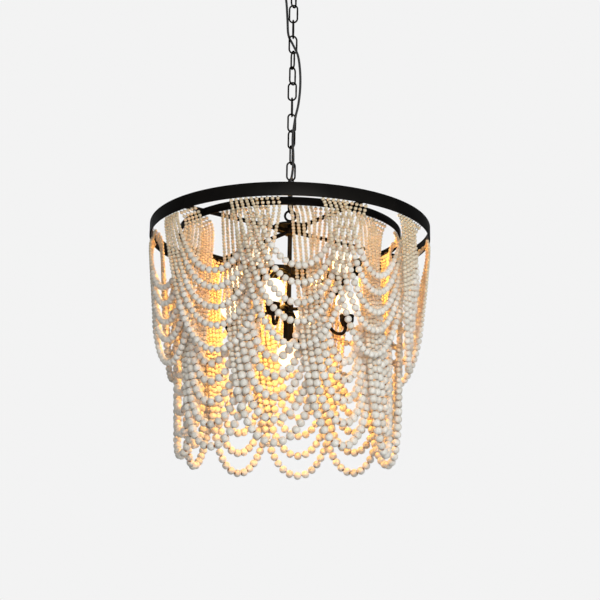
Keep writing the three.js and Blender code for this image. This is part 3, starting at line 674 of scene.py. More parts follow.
def ranged(tree, value, from_range, to_range=(0.0, 1.0)):
    """A value's range carried over to another one."""
    low, high = from_range
    to_low, to_high = to_range
    limits = {"From Min": low, "From Max": high, "To Min": to_low, "To Max": to_high}
    node = new_node(tree, "ShaderNodeMapRange", limits)
    tree.links.new(value, node.inputs["Value"])
    return node.outputs["Result"]


def noise(tree, vector, scale, detail, roughness=0.5):
    """Noise at a scale, read along a vector."""
    values = {"Scale": scale, "Detail": detail, "Roughness": roughness}
    node = new_node(tree, "ShaderNodeTexNoise", values)
    tree.links.new(vector, node.inputs["Vector"])
    return node.outputs["Fac"]


def bump(tree, shader, height, strength, distance):
    """A raised pattern on a shader."""
    node = new_node(tree, "ShaderNodeBump", {"Strength": strength, "Distance": distance})
    tree.links.new(height, node.inputs["Height"])
    tree.links.new(node.outputs["Normal"], shader.inputs["Normal"])


def black_metal():
    """Black powder coat on steel: a fine orange-peel bump, uneven gloss and a faint brown cast."""
    finish = bpy.context.scene.chandelier_metal
    material, tree, shader = blank("black_metal")
    place = object_place(tree)
    cloudy = noise(tree, place, *METAL_CLOUD_NOISE)
    fine = noise(tree, place, *METAL_PEEL_NOISE)
    colour = mixed(tree, cloudy, finish.colour, finish.worn_colour)
    tree.links.new(colour, shader.inputs["Base Color"])
    gloss = [finish.roughness + spread for spread in METAL_ROUGHNESS_SPREAD]
    tree.links.new(ranged(tree, cloudy, METAL_CLOUD_RANGE, gloss), shader.inputs["Roughness"])
    shader.inputs["Metallic"].default_value = finish.metallic
    shader.inputs["Specular Tint"].default_value = full(METAL_TINT)
    bump(tree, shader, fine, *METAL_BUMP)
    return material


def bead_wood():
    """White-washed wood: darker grain along each bead's drill hole, a dark orange-brown at the hole's
    rims that is partly bare wood and partly painted shade where touching beads meet, its own tone for
    each bead, a browner one for the small beads, and a dry, slightly raised grain. It reads the bead's
    own grain coordinates, its tones, and how near a point is to the hole."""
    finish = bpy.context.scene.chandelier_beads
    material, tree, shader = blank("washed_beads")
    grain = attribute(tree, "bead_grain", "Vector")
    lines = noise(tree, mapped(tree, grain, {"Scale": GRAIN_STRETCH}), *GRAIN_NOISE)
    blotch = noise(tree, grain, *BLOTCH_NOISE)
    share = ranged(tree, lines, GRAIN_RANGE)
    washed = mixed(tree, share, finish.colour, finish.grain_colour)
    shaded = toned(tree, washed, attribute(tree, "bead_tone"), finish.deep_tone)
    barer = toned(tree, shaded, attribute(tree, "bead_bare"), finish.small_tone)
    # Painted shade: each bead's ends, where it meets the next bead, turn a dark orange-brown; part of
    # this is the bare wood at the drill hole
    rim_and_gap_shaded = new_node(tree, "ShaderNodeMix", data_type="RGBA")
    tree.links.new(ranged(tree, attribute(tree, "bead_rim_and_gap_shade"), RIM_AND_GAP_SHADE_RANGE), rim_and_gap_shaded.inputs["Factor"])
    tree.links.new(barer, rim_and_gap_shaded.inputs["A"])
    rim_and_gap_shaded.inputs["B"].default_value = full(finish.rim_and_gap_shade_colour)
    tree.links.new(rim_and_gap_shaded.outputs["Result"], shader.inputs["Base Color"])
    tree.links.new(ranged(tree, blotch, BLOTCH_RANGE, BEAD_ROUGHNESS), shader.inputs["Roughness"])
    shader.inputs["Specular IOR Level"].default_value = BEAD_SPECULAR
    bump(tree, shader, lines, *GRAIN_BUMP)
    return material


def thread():
    """Dark waxed string, lighter and darker in fine flecks."""
    material, tree, shader = blank("bead_thread")
    strands = noise(tree, object_place(tree), *THREAD_NOISE)
    tree.links.new(mixed(tree, strands, *THREAD_COLOURS), shader.inputs["Base Color"])
    shader.inputs["Roughness"].default_value = THREAD_ROUGHNESS
    return material


def braid():
    """The cord's black braid: two sets of bands that cross round it, from its own UV map."""
    material, tree, shader = blank("woven_cord")
    uv = new_node(tree, "ShaderNodeUVMap", uv_map="braid").outputs["UV"]
    higher = new_node(tree, "ShaderNodeMath", operation="MAXIMUM")
    for number, way in enumerate((1.0, -1.0)):
        band = new_node(tree, "ShaderNodeTexWave", BRAID_WAVE)
        turned_uv = mapped(tree, uv, {"Rotation": (0.0, 0.0, way * BRAID_TURN)})
        tree.links.new(turned_uv, band.inputs["Vector"])
        tree.links.new(band.outputs["Fac"], higher.inputs[number])
    height = higher.outputs["Value"]
    tree.links.new(mixed(tree, height, *BRAID_COLOURS), shader.inputs["Base Color"])
    shader.inputs["Roughness"].default_value = BRAID_ROUGHNESS
    bump(tree, shader, height, *BRAID_BUMP)
    return material


def lit_glass():
    """Frosted glass with the lamp on: warm light, with faint unevenness in the frosting."""
    glow = bpy.context.scene.chandelier_lamps
    material, tree, shader = blank("lit_glass")
    cloudy = noise(tree, object_place(tree), *GLASS_NOISE)
    shader.inputs["Base Color"].default_value = full(GLASS_COLOUR)
    shader.inputs["Roughness"].default_value = GLASS_ROUGHNESS
    dimmer = tuple(GLASS_DIM_SHARE * part for part in glow.glass_colour)
    frosted = mixed(tree, cloudy, glow.glass_colour, dimmer)
    tree.links.new(frosted, shader.inputs["Emission Color"])
    shader.inputs["Emission Strength"].default_value = glow.glass_strength
    return material


def cap_metal():
    """The bulb's nickel screw cap: fine turned lines round it."""
    material, tree, shader = blank("bulb_cap_metal")
    lines = noise(tree, mapped(tree, object_place(tree), {"Scale": SCREW_STRETCH}), *SCREW_NOISE)
    tree.links.new(mixed(tree, lines, *SCREW_COLOURS), shader.inputs["Base Color"])
    shader.inputs["Metallic"].default_value = 1.0
    shader.inputs["Roughness"].default_value = SCREW_ROUGHNESS
    return material


# Settings


class BeadSettings(bpy.types.PropertyGroup):
    """Sizes and finish of the beads."""

    gap: FloatProperty(
        name="Gap between beads", description="Bare thread between two beads",
        default=0.0001, min=0.0, unit="LENGTH",
    )
    size_spread_share: FloatProperty(
        name="Size spread", description="How much the beads differ in size, as a share",
        default=0.025, min=0.0, max=0.05, subtype="FACTOR",
    )
    tilt: FloatProperty(
        name="Tilt", description="How far a bead may lean on its thread",
        default=0.09, min=0.0, max=0.3, subtype="ANGLE",
    )
    thread_radius: FloatProperty(
        name="Thread radius", description="Radius of the thread that the beads are strung on",
        default=0.0006, min=0.0002, max=0.0008, unit="LENGTH",
    )
    colour: FloatVectorProperty(
        name="Wash", description="Colour of the washed wood", subtype="COLOR",
        size=3, min=0.0, max=1.0, default=(0.80, 0.745, 0.66),
    )
    grain_colour: FloatVectorProperty(
        name="Grain", description="Colour where the grain shows through the wash", subtype="COLOR",
        size=3, min=0.0, max=1.0, default=(0.58, 0.49, 0.38),
    )
    deep_tone: FloatVectorProperty(
        name="Deepest tone", description="What the darkest beads' colour is multiplied by",
        subtype="COLOR", size=3, min=0.0, max=1.0, default=(0.84, 0.82, 0.79),
    )
    small_tone: FloatVectorProperty(
        name="Small beads' tone", description="What the smallest beads' colour is multiplied by",
        subtype="COLOR", size=3, min=0.0, max=1.0, default=(0.92, 0.82, 0.64),
    )
    # Painted shade between touching beads, and partly the bare wood at the drill hole's rims
    rim_and_gap_shade_colour: FloatVectorProperty(
        name="Rim and gap shade", description="Colour at the rims of the drill hole: partly bare wood, partly painted shade between touching beads",
        subtype="COLOR", size=3, min=0.0, max=1.0, default=(0.30, 0.14, 0.045),
    )


class MetalSettings(bpy.types.PropertyGroup):
    """Finish of the black metal."""

    colour: FloatVectorProperty(
        name="Coat", description="Colour of the black coat", subtype="COLOR",
        size=3, min=0.0, max=1.0, default=(0.0045, 0.0043, 0.0042),
    )
    worn_colour: FloatVectorProperty(
        name="Thin coat", description="Colour where the coat is thinner", subtype="COLOR",
        size=3, min=0.0, max=1.0, default=(0.009, 0.0078, 0.0065),
    )
    roughness: FloatProperty(
        name="Roughness", description="Roughness of the coat",
        default=0.42, min=0.1, max=0.9, subtype="FACTOR",
    )
    metallic: FloatProperty(
        name="Metallic", description="How metallic the coat looks",
        default=0.9, min=0.0, max=1.0, subtype="FACTOR",
    )


class LampSettings(bpy.types.PropertyGroup):
    """Light and glass of the bulbs."""

    glass_colour: FloatVectorProperty(
        name="Glass glow", description="Colour of the lit glass", subtype="COLOR",
        size=3, min=0.0, max=1.0, default=(1.0, 0.9, 0.7),
    )
    glass_strength: FloatProperty(
        name="Glass strength", description="How brightly the glass shines",
        default=1.1, min=0.0,
    )
    light_colour: FloatVectorProperty(
        name="Lamp light", description="Colour of the light that the lamps throw", subtype="COLOR",
        size=3, min=0.0, max=1.0, default=(1.0, 0.48, 0.08),
    )
    power: FloatProperty(
        name="Lamp power", description="Power of each lamp's light",
        default=3.0, min=0.0, unit="POWER",
    )
    inner_power: FloatProperty(
        name="Inner power", description="Power of the lights on the axis, before their shares",
        default=2.5, min=0.0, unit="POWER",
    )


class StageSettings(bpy.types.PropertyGroup):
    """Camera, light and floor."""

    background: FloatVectorProperty(
        name="Background", description="Colour of the backdrop", subtype="COLOR",
        size=3, min=0.0, max=1.0, default=(0.896, 0.896, 0.896),
    )
    ambient: FloatProperty(
        name="Ambient light", description="Strength of the even light from all round",
        default=0.13, min=0.0,
    )
    key_power: FloatProperty(
        name="Key light", description="Power of the large soft light",
        default=70.0, min=0.0, unit="POWER",
    )
    floor_level: FloatProperty(
        name="Floor level", description="Height of the floor, below the ceiling",
        default=-4.2, unit="LENGTH",
    )
    floor_glow: FloatProperty(
        name="Floor glow", description="How brightly the floor shines for the camera",
        default=0.75, min=0.0,
    )
    lens: FloatProperty(
        name="Lens", description="Focal length on a 36 mm sensor, in millimetres",
        default=87.9525, min=10.0,
    )


# Stage

CAMERA_PLACE = (0.0, -2.5, HOOP_TOP - 0.81431)
CAMERA_YAW = 0.44936
CAMERA_PITCH = 15.28062
CAMERA_ROLL = 0.79842
SENSOR_WIDTH = 36.0
CLIP_START = 0.01
CLIP_END = 100.0
STUDIO_COLOUR = (0.88, 0.94, 1.0)
STUDIO_LIGHT_SIZE = 1.6
STUDIO_TARGET = (0.0, 0.0, HOOP_TOP - 0.2)

# Each studio light's name, its place and its share of the key light's power
STUDIO_LIGHT_SHARES = (
    ("key_light", (0.3, -2.7, -0.8), 1.0),
    ("fill_light", (2.3, -1.1, -1.2), 0.3),
    ("back_light", (-1.9, 2.1, -0.7), 0.4),
)

FLOOR_REACH = 30.0
FLOOR_ROUGHNESS = 0.9


def placed(right, up, back, place):
    """The matrix of an object whose three axes and place are given."""
    matrix = np.eye(4)
    for column, values in enumerate((right, up, back, place)):
        matrix[:3, column] = values
    return Matrix(matrix.tolist())


def camera_matrix():
    """The camera's axes: right, up and back, from its yaw to the right, pitch up and roll, in degrees."""
    yaw, pitch, roll = np.radians([CAMERA_YAW, CAMERA_PITCH, CAMERA_ROLL])
    ahead = np.array([np.sin(yaw) * np.cos(pitch), np.cos(yaw) * np.cos(pitch), np.sin(pitch)])
    level = np.array([np.cos(yaw), -np.sin(yaw), 0.0])
    rise = np.cross(level, ahead)
    right = np.cos(roll) * level + np.sin(roll) * rise
    up = np.cos(roll) * rise - np.sin(roll) * level
    return placed(right, up, -ahead, CAMERA_PLACE)


def area_light(name, place, power):
    """A square soft light that looks at the chandelier."""
    light = bpy.data.lights.new(name, "AREA")
    light.shape = "SQUARE"
    light.size = STUDIO_LIGHT_SIZE
    light.energy = power
    light.color = STUDIO_COLOUR
    obj = bpy.data.objects.new(name, light)
    bpy.context.scene.collection.objects.link(obj)
    back = unit(np.array(place) - np.array(STUDIO_TARGET))
    right = unit(np.cross(Z_AXIS, back))
    obj.matrix_world = placed(right, np.cross(back, right), back, place)


def seen_share(tree):
    """1 for what the camera, a mirror or clear glass sees, and 0 for what only lights the object."""
    path = new_node(tree, "ShaderNodeLightPath")
    shown = path.outputs["Is Camera Ray"]
    for ray in ("Is Glossy Ray", "Is Transmission Ray"):
        either = new_node(tree, "ShaderNodeMath", operation="MAXIMUM")
        tree.links.new(shown, either.inputs[0])
        tree.links.new(path.outputs[ray], either.inputs[1])
        shown = either.outputs["Value"]
    return shown


def add_camera(scene, lens):
    """The camera that looks up at the chandelier."""
    camera = bpy.data.objects.new("camera", bpy.data.cameras.new("camera"))
    camera.data.sensor_fit = "HORIZONTAL"
    camera.data.sensor_width = SENSOR_WIDTH
    camera.data.lens = lens
    camera.data.clip_start = CLIP_START
    camera.data.clip_end = CLIP_END
    camera.matrix_world = camera_matrix()
    scene.collection.objects.link(camera)
    scene.camera = camera


def add_world(scene, setup):
    """A backdrop of one colour, and an even light from all round."""
    world = bpy.data.worlds.new("studio")
    scene.world = world
    world.use_nodes = True
    tree = world.node_tree
    tree.nodes.clear()
    shown = seen_share(tree)
    backdrop = {"Color": full(setup.background), "Strength": 1.0}
    lighting = {"Color": full(STUDIO_COLOUR), "Strength": setup.ambient}
    seen = new_node(tree, "ShaderNodeBackground", backdrop)
    light = new_node(tree, "ShaderNodeBackground", lighting)
    choice = new_node(tree, "ShaderNodeMixShader")
    output = new_node(tree, "ShaderNodeOutputWorld")
    tree.links.new(shown, choice.inputs["Fac"])
    tree.links.new(light.outputs["Background"], choice.inputs[1])
    tree.links.new(seen.outputs["Background"], choice.inputs[2])
    tree.links.new(choice.outputs["Shader"], output.inputs["Surface"])


def add_floor(setup):
    """A wide floor in the backdrop's colour."""
    material, tree, shader = blank("pale_floor")
    shader.inputs["Base Color"].default_value = full(setup.background)
    shader.inputs["Roughness"].default_value = FLOOR_ROUGHNESS
    shader.inputs["Emission Color"].default_value = full(setup.background)
    paler = new_node(tree, "ShaderNodeMath", operation="MULTIPLY")
    paler.inputs[1].default_value = setup.floor_glow
    tree.links.new(seen_share(tree), paler.inputs[0])
    tree.links.new(paler.outputs["Value"], shader.inputs["Emission Strength"])
    corners = np.array([[-1, -1], [1, -1], [1, 1], [-1, 1]]) * FLOOR_REACH
    points = np.concatenate([corners, np.full((4, 1), setup.floor_level)], axis=1)
    floor = put("floor", (points, [np.arange(4)[None]]), [material], sharp=None)


class CHANDELIER_OT_stage(bpy.types.Operator):
    """Sets up the camera, the pale background and floor, and the soft studio light"""

    bl_idname = "chandelier.stage"
    bl_label = "Stage"

    def execute(self, context):
        setup = context.scene.chandelier_stage
        context.scene.view_settings.view_transform = "Standard"
        add_camera(context.scene, setup.lens)
        add_world(context.scene, setup)
        add_floor(setup)
        for name, place, share in STUDIO_LIGHT_SHARES:
            area_light(name, place, setup.key_power * share)
        return {"FINISHED"}


# Cord


def cord_line():
    """The cord's whole route as an even line of points, 1 mm apart."""
    line = smooth_line(CORD_ROUTE, CORD_SAMPLES)
    return even(line, int(lengths_along(line)[-1] / CORD_POINT_STEP) + 1)


class CHANDELIER_OT_cord(bpy.types.Operator):
    """Makes the braided cord beside the chain, in runs that each follow one link"""

    bl_idname = "chandelier.cord"
    bl_label = "Cord"

    def execute(self, context):
        material = braid()
        line = cord_line()
        along = lengths_along(line)
        joints = FIRST_LINK_TOP - LINK_PITCH * np.arange(LINK_COUNT + 1)
        ends = np.concatenate([[np.inf], joints, [-np.inf]])
        self.report({"INFO"}, "cord length %.4f" % along[-1])
        for i, body in enumerate(BODIES):
            inside = np.flatnonzero((line[:, 2] <= ends[i]) & (line[:, 2] >= ends[i + 1]))
            first, last = max(inside[0] - 1, 0), inside[-1]
            run = line[first : last + 1]
            sleeve = tube(run, CORD_RADIUS, CORD_SIDES, X_AXIS)
            obj = put("cord_run_%02d" % (i + 1), sleeve, [material], sharp=ROUND_SHARP_ANGLE)
            layer = obj.data.uv_layers.new(name="braid")
            corner = np.zeros(len(obj.data.loops), np.int32)
            obj.data.loops.foreach_get("vertex_index", corner)
            ring, side = corner // CORD_SIDES, corner % CORD_SIDES
            uv = np.stack([along[first + ring] / BRAID_PITCH, side / BRAID_BAND_SIDES], axis=1)
            layer.data.foreach_set("uv", uv.astype(np.float32).ravel())
            settle(obj, body, "woven_cord", "cord")
        return {"FINISHED"}


# Ceiling mounting and chain


class CHANDELIER_OT_ceiling(bpy.types.Operator):
    """Makes the canopy, its collar and the loop that the chain hangs from, and coats the ceiling bar"""

    bl_idname = "chandelier.ceiling"
    bl_label = "Ceiling mounting"

    def execute(self, context):
        material = black_metal()
        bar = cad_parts["ceiling_bar"]
        bar.data.materials.clear()
        bar.data.materials.append(material)

        quarter = np.linspace(0, np.pi / 2, CANOPY_CURVE_STEPS + 1)
        bulge = CANOPY_HEIGHT - CANOPY_RIM_HEIGHT
        spread = CANOPY_RADIUS - CANOPY_FLAT_RADIUS
        hole = NIPPLE_RADIUS + SEAT_GAP
        outer, inner = (
            np.stack(
                [
                    CANOPY_FLAT_RADIUS + (spread - wall) * np.cos(quarter),
                    -CANOPY_RIM_HEIGHT - (bulge - wall) * np.sin(quarter),
                ],
                axis=1,
            )
            for wall in (0.0, CANOPY_WALL)
        )
        rim = [[CANOPY_RADIUS, 0.0], [CANOPY_RADIUS - CANOPY_WALL, 0.0]]
        low, high = [[hole, CANOPY_FOOT]], [[hole, CANOPY_FOOT + CANOPY_WALL]]
        profile = np.concatenate([low, outer[::-1], rim, inner, high])
        edge = softened(profile, CANOPY_EDGE, closed=True, steps=CANOPY_EDGE_STEPS)
        dish = turned(edge, CANOPY_SIDES, closed=True)
        metal_piece("ceiling_canopy", dish, material, "ceiling_mounting", "canopy")

        foot = COLLAR_TOP - COLLAR_HEIGHT
        profile = [
            [hole, foot],
            [COLLAR_RADIUS - COLLAR_WAIST, foot],
            [COLLAR_RADIUS, foot + COLLAR_HEIGHT / 2],
            [COLLAR_RADIUS, COLLAR_TOP],
            [hole, COLLAR_TOP],
        ]
        collar = turned(softened(profile, COLLAR_EDGE, closed=True), COLLAR_SIDES, closed=True)
        metal_piece("canopy_collar_nut", collar, material, "ceiling_mounting", "canopy_collar")

        low, high = LOOP_CENTRE + LOOP_RADIUS, -BAR_THICKNESS - SEAT_GAP
        profile = [[0, low], [NIPPLE_RADIUS, low], [NIPPLE_RADIUS, high], [0, high]]
        nipple = turned(softened(profile, METAL_EDGE), PIPE_SIDES)
        loop = joined([upright_ring(LOOP_RADIUS, LOOP_WIRE / 2, LOOP_CENTRE), nipple])
        metal_piece("canopy_hanging_loop", loop, material, "ceiling_mounting", "canopy_loop")
        return {"FINISHED"}


def link_shell():
    """One link in the XZ plane: a straight, a half turn, a straight and a half turn, with the wire's
    section a little thicker at the weld in the middle of one straight."""
    half = (LINK_REACH - 2 * LINK_BEND) / 2
    bend = np.linspace(0, np.pi, LINK_BEND_STEPS + 1)
    straight = np.linspace(-half, half, LINK_STRAIGHT_STEPS + 1)[1:-1]
    side = np.full(len(straight), LINK_BEND)
    flat = np.concatenate(
        [
            np.stack([LINK_BEND * np.cos(bend), half + LINK_BEND * np.sin(bend)], axis=1),
            np.stack([-side, straight[::-1]], axis=1),
            np.stack([-LINK_BEND * np.cos(bend), -half - LINK_BEND * np.sin(bend)], axis=1),
            np.stack([side, straight], axis=1),
        ]
    )
    line = np.stack([flat[:, 0], np.zeros(len(flat)), flat[:, 1]], axis=1)
    weld = np.exp(-((line[:, 2] / WELD_LENGTH) ** 2)) * (line[:, 0] > 0)
    return tube(line, LINK_WIRE / 2 * (1 + WELD_SHARE * weld), LINK_SIDES, Y_AXIS, closed=True)


class CHANDELIER_OT_chain(bpy.types.Operator):
    """Makes the fifteen links of the chain, each seated in the next"""

    bl_idname = "chandelier.chain"
    bl_label = "Chain"

    def execute(self, context):
        material = black_metal()
        link = link_shell()
        for i in range(LINK_COUNT):
            level = FIRST_LINK_TOP - i * LINK_PITCH - LINK_REACH / 2
            one = moved(link, (0.0, 0.0, level), 90.0 + LINK_TURNS[i])
            number = "%02d" % (i + 1)
            body, node = "link_" + number, "chain_link_" + number
            metal_piece("link_wire_" + number, one, material, body, node)
        return {"FINISHED"}


# Stem, hoops and bars


class CHANDELIER_OT_stem(bpy.types.Operator):
    """Makes the stem with its shoulder, the eye on its collar and the cap over the cross bars"""

    bl_idname = "chandelier.stem"
    bl_label = "Stem"

    def execute(self, context):
        material = black_metal()
        foot = EYE_COLLAR_TOP - EYE_COLLAR_HEIGHT
        bore = STEM_RADIUS + SEAT_GAP
        profile = [
            [0, EYE_COLLAR_TOP],
            [EYE_COLLAR_RADIUS - EYE_COLLAR_TOP_INSET, EYE_COLLAR_TOP],
            [EYE_COLLAR_RADIUS, EYE_COLLAR_TOP - EYE_COLLAR_TOP_TAPER],
            [EYE_COLLAR_RADIUS, foot + EYE_COLLAR_FOOT_TAPER],
            [EYE_COLLAR_RADIUS - EYE_COLLAR_FOOT_INSET, foot],
            [bore, foot],
            [bore, foot + EYE_SOCKET_DEPTH],
            [0, foot + EYE_SOCKET_DEPTH],
        ]
        collar = turned(softened(profile, METAL_EDGE), SMALL_SIDES)
        eye = joined([upright_ring(EYE_RADIUS, EYE_WIRE / 2, EYE_CENTRE), collar])
        metal_piece("hanging_eye", eye, material, "chandelier", "stem_eye")

        foot = HOOP_TOP + SEAT_GAP
        shoulder = foot + CAP_RIM_HEIGHT
        land = EYE_COLLAR_RADIUS + CAP_WALL
        profile = [
            [bore, CAP_TOP - CAP_WALL],
            [land, CAP_TOP - CAP_WALL],
            [CAP_RADIUS - CAP_WALL, shoulder - CAP_WALL],
            [CAP_RADIUS - CAP_WALL, foot],
            [CAP_RADIUS, foot],
            [CAP_RADIUS, shoulder],
            [land, CAP_TOP],
            [bore, CAP_TOP],
        ]
        cap = turned(softened(profile, CAP_EDGE, closed=True), CAP_SIDES, closed=True)
        metal_piece("cross_bar_cap", cap, material, "chandelier", "hub_cap")

        low = SHOULDER_TOP - SHOULDER_HEIGHT
        profile = [
            [STEM_BORE_RADIUS, STEM_FOOT],
            [STEM_RADIUS, STEM_FOOT],
            [STEM_RADIUS, low],
            [SHOULDER_RADIUS, low],
            [SHOULDER_RADIUS, SHOULDER_TOP],
            [STEM_RADIUS, SHOULDER_TOP],
            [STEM_RADIUS, STEM_TOP],
            [STEM_BORE_RADIUS, STEM_TOP],
        ]
        pipe = turned(softened(profile, METAL_EDGE, closed=True), PIPE_SIDES, closed=True)
        metal_piece("stem_pipe", pipe, material, "chandelier", "stem")
        return {"FINISHED"}


def hoop(radius, height, top):
    """A hoop's wall, an oblong with softened corners, turned about Z."""
    middle = np.array([radius - HOOP_WALL / 2, top - height / 2])
    return turned(oblong(HOOP_WALL, height, METAL_EDGE) + middle, HOOP_SIDES, closed=True)


class CHANDELIER_OT_hoops(bpy.types.Operator):
    """Makes the outer and the inner hoop"""

    bl_idname = "chandelier.hoops"
    bl_label = "Hoops"

    def execute(self, context):
        material = black_metal()
        outer = hoop(OUTER_HOOP_RADIUS, OUTER_HOOP_HEIGHT, HOOP_TOP)
        metal_piece("outer_hoop_band", outer, material, "chandelier", "outer_hoop")
        inner = hoop(INNER_HOOP_RADIUS, INNER_HOOP_HEIGHT, INNER_HOOP_TOP)
        metal_piece("inner_hoop_band", inner, material, "chandelier", "inner_hoop")
        return {"FINISHED"}


def cross_bar_shell(high, low, bearing):
    """A flat bar on edge, halved in height over the middle, with a washer round the stem. The halved part
    lies between the heights low and high."""
    middle = HOOP_TOP - CROSS_BAR_HEIGHT / 2
    reach = (OUTER_HOOP_RADIUS - HOOP_WALL) * np.cos(np.pi / OUTER_HOOP_SEGMENTS) - SEAT_GAP
    clear = CROSS_BAR_EYE_RADIUS + SEAT_GAP
    bore = STEM_RADIUS + SEAT_GAP
    whole = oblong(CROSS_BAR_THICKNESS, CROSS_BAR_HEIGHT, METAL_EDGE)
    half = oblong(CROSS_BAR_THICKNESS, high - low, THIN_EDGE)
    level = (high + low) / 2
    near, far = CROSS_BAR_HALVED
    profile = [[bore, low], [CROSS_BAR_EYE_RADIUS, low], [CROSS_BAR_EYE_RADIUS, high], [bore, high]]
    parts = [turned(softened(profile, THIN_EDGE, closed=True), SMALL_SIDES, closed=True)]
    for end in (-1.0, 1.0):
        for section, start, stop, height in ((whole, clear, reach, middle), (half, near, far, level)):
            ends = [end * start, 0, height], [end * stop, 0, height]
            parts.append(carried(section, *ends, Y_AXIS, Z_AXIS))
    return moved(joined(parts), bearing=bearing)


class CHANDELIER_OT_cross_bars(bpy.types.Operator):
    """Makes the two flat bars that cross on the stem and carry the hoops"""

    bl_idname = "chandelier.cross_bars"
    bl_label = "Cross bars"

    def execute(self, context):
        material = black_metal()
        middle = HOOP_TOP - CROSS_BAR_HEIGHT / 2
        foot = HOOP_TOP - CROSS_BAR_HEIGHT
        for side, high, low, turn in (
            ("upper", HOOP_TOP, middle + SEAT_GAP / 2, 0),
            ("lower", middle - SEAT_GAP / 2, foot, 90),
        ):
            bar = cross_bar_shell(high, low, CROSS_BAR_BEARING + turn)
            metal_piece("crossing_bar_" + side, bar, material, "chandelier", "cross_bar_" + side)
        return {"FINISHED"}


# Lamps


def arm_line(level):
    """The middle line of an arm that leaves the stem along +X at a level and comes up under its cup."""
    foot = level - ARM_DROP
    dip = foot - ARM_DIP
    heights = [level - share * ARM_DROP for share in ARM_DROP_SHARES]
    heights += [dip + ARM_RISE_SHARE * ARM_DIP, dip]
    first = [SPRAY_HUB_RADIUS / 2, 0, level]
    between = [[share * ARM_REACH, 0, height] for share, height in zip(ARM_REACH_SHARES, heights)]
    last = [ARM_REACH, 0, foot + ARM_CUP_SHARE * CUP_HEIGHT]
    return smooth_line([first, *between, last], ARM_SAMPLES)


def cup_shell(foot):
    """A turned cup: a foot, a flared bowl with a rim, and a bore for the bulb's cap."""
    rim = foot + CUP_HEIGHT
    band, edge = CUP_RIM_BAND
    profile = [
        [0, foot],
        [CUP_FOOT_RADIUS, foot],
        [CUP_FOOT_RADIUS + CUP_FOOT_FLARE, foot + CUP_FOOT_HEIGHT],
        [CUP_RADIUS - CUP_RIM_DEPTH, foot + CUP_HEIGHT / 2],
        [CUP_RADIUS - CUP_RIM_DEPTH, rim - band],
        [CUP_RADIUS, rim - edge],
        [CUP_RADIUS, rim],
        [CUP_BORE_RADIUS, rim],
        [CUP_BORE_RADIUS, rim - CUP_BORE_DEPTH],
        [0, rim - CUP_BORE_DEPTH],
    ]
    return turned(softened(profile, CUP_EDGE), SMALL_SIDES)


def hub_shell(level):
    """A turned hub round the stem, with two shallow grooves and a dished disc above the arms."""
    low = level - SPRAY_HUB_HEIGHT / 2
    high = level + SPRAY_HUB_HEIGHT / 2
    top = high + SPRAY_DISC_HEIGHT
    bore = STEM_RADIUS + SEAT_GAP
    wide = SPRAY_HUB_RADIUS
    groove = SPRAY_HUB_RADIUS - SPRAY_GROOVE_DEPTH
    radii = (wide, groove, groove, wide)
    profile = [[bore, low], [wide, low]]
    profile += [[radius, low + rise] for radius, rise in zip(radii, SPRAY_LOWER_GROOVE)]
    profile += [[radius, high - fall] for radius, fall in zip(radii, SPRAY_UPPER_GROOVE)]
    profile += [
        [groove, high],
        [SPRAY_DISC_RADIUS, high + SPRAY_DISC_HEIGHT / 2],
        [STEM_RADIUS + CAP_WALL, top],
        [bore, top],
    ]
    return turned(softened(profile, METAL_EDGE, closed=True), COLLAR_SIDES, closed=True)


def holder_shell():
    """The turned lampholder on the stem's foot: a waisted sleeve that opens downwards for the bulb's cap
    and upwards for the stem."""
    foot = HOLDER_TOP - HOLDER_LENGTH
    web = HOLDER_TOP - HOLDER_TOP_LENGTH
    thread_foot = HOLDER_TOP - HOLDER_THREAD_DEPTH
    thread_radius = STEM_RADIUS + SEAT_GAP
    waist = HOLDER_RADIUS - HOLDER_WAIST_DEPTH
    foot_band, foot_waist = HOLDER_FOOT_BAND
    top_waist, top_band = HOLDER_TOP_BAND
    profile = [
        [0, web],
        [CUP_BORE_RADIUS, web],
        [CUP_BORE_RADIUS, foot],
        [HOLDER_RADIUS, foot],
        [HOLDER_RADIUS, foot + foot_band],
        [waist, foot + foot_waist],
        [waist, HOLDER_TOP - top_waist],
        [HOLDER_RADIUS, HOLDER_TOP - top_band],
        [HOLDER_RADIUS, HOLDER_TOP],
        [thread_radius, HOLDER_TOP],
        [thread_radius, thread_foot],
        [0, thread_foot],
    ]
    return turned(softened(profile, METAL_EDGE), SMALL_SIDES)


def bulb_profile():
    """A globe bulb's profile about Z from its cap's foot to its crown: a straight cap, a short neck and
    a sphere, with the rim of the cup at height 0."""
    centre = BULB_NECK_LENGTH + BULB_RADIUS
    first = np.arcsin(BULB_CAP_RADIUS / BULB_RADIUS) * BULB_GLOBE_START_SHARE
    angle = np.linspace(first, np.pi, BULB_GLOBE_STEPS + 1)[:-1]
    globe = np.stack([BULB_RADIUS * np.sin(angle), centre - BULB_RADIUS * np.cos(angle)], axis=1)
    cap = [[0, -BULB_CAP_LENGTH], [BULB_CAP_FOOT_RADIUS, -BULB_CAP_LENGTH]]
    cap += [[BULB_CAP_RADIUS, height] for height in BULB_CAP_STRAIGHT]
    low, high = BULB_NECK_LEVELS
    neck = [[BULB_CAP_RADIUS, low], [BULB_CAP_RADIUS + BULB_NECK_FLARE, high]]
    return np.concatenate([cap, neck, globe, [[0, centre + BULB_RADIUS]]])


def point_light(name, place, power, radius):
    """A round lamp light that moves with the chandelier."""
    lamp = bpy.data.lights.new(name, "POINT")
    lamp.color = bpy.context.scene.chandelier_lamps.light_colour
    lamp.energy = power
    lamp.shadow_soft_size = radius
    light = bpy.data.objects.new(name, lamp)
    bpy.context.scene.collection.objects.link(light)
    light.location = place
    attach(light, "chandelier")


def spray_bearings(first):
    """The bearings of a spray's arms, evenly spread from the first."""
    return [first + 360.0 / SPRAY_ARMS * i for i in range(SPRAY_ARMS)]


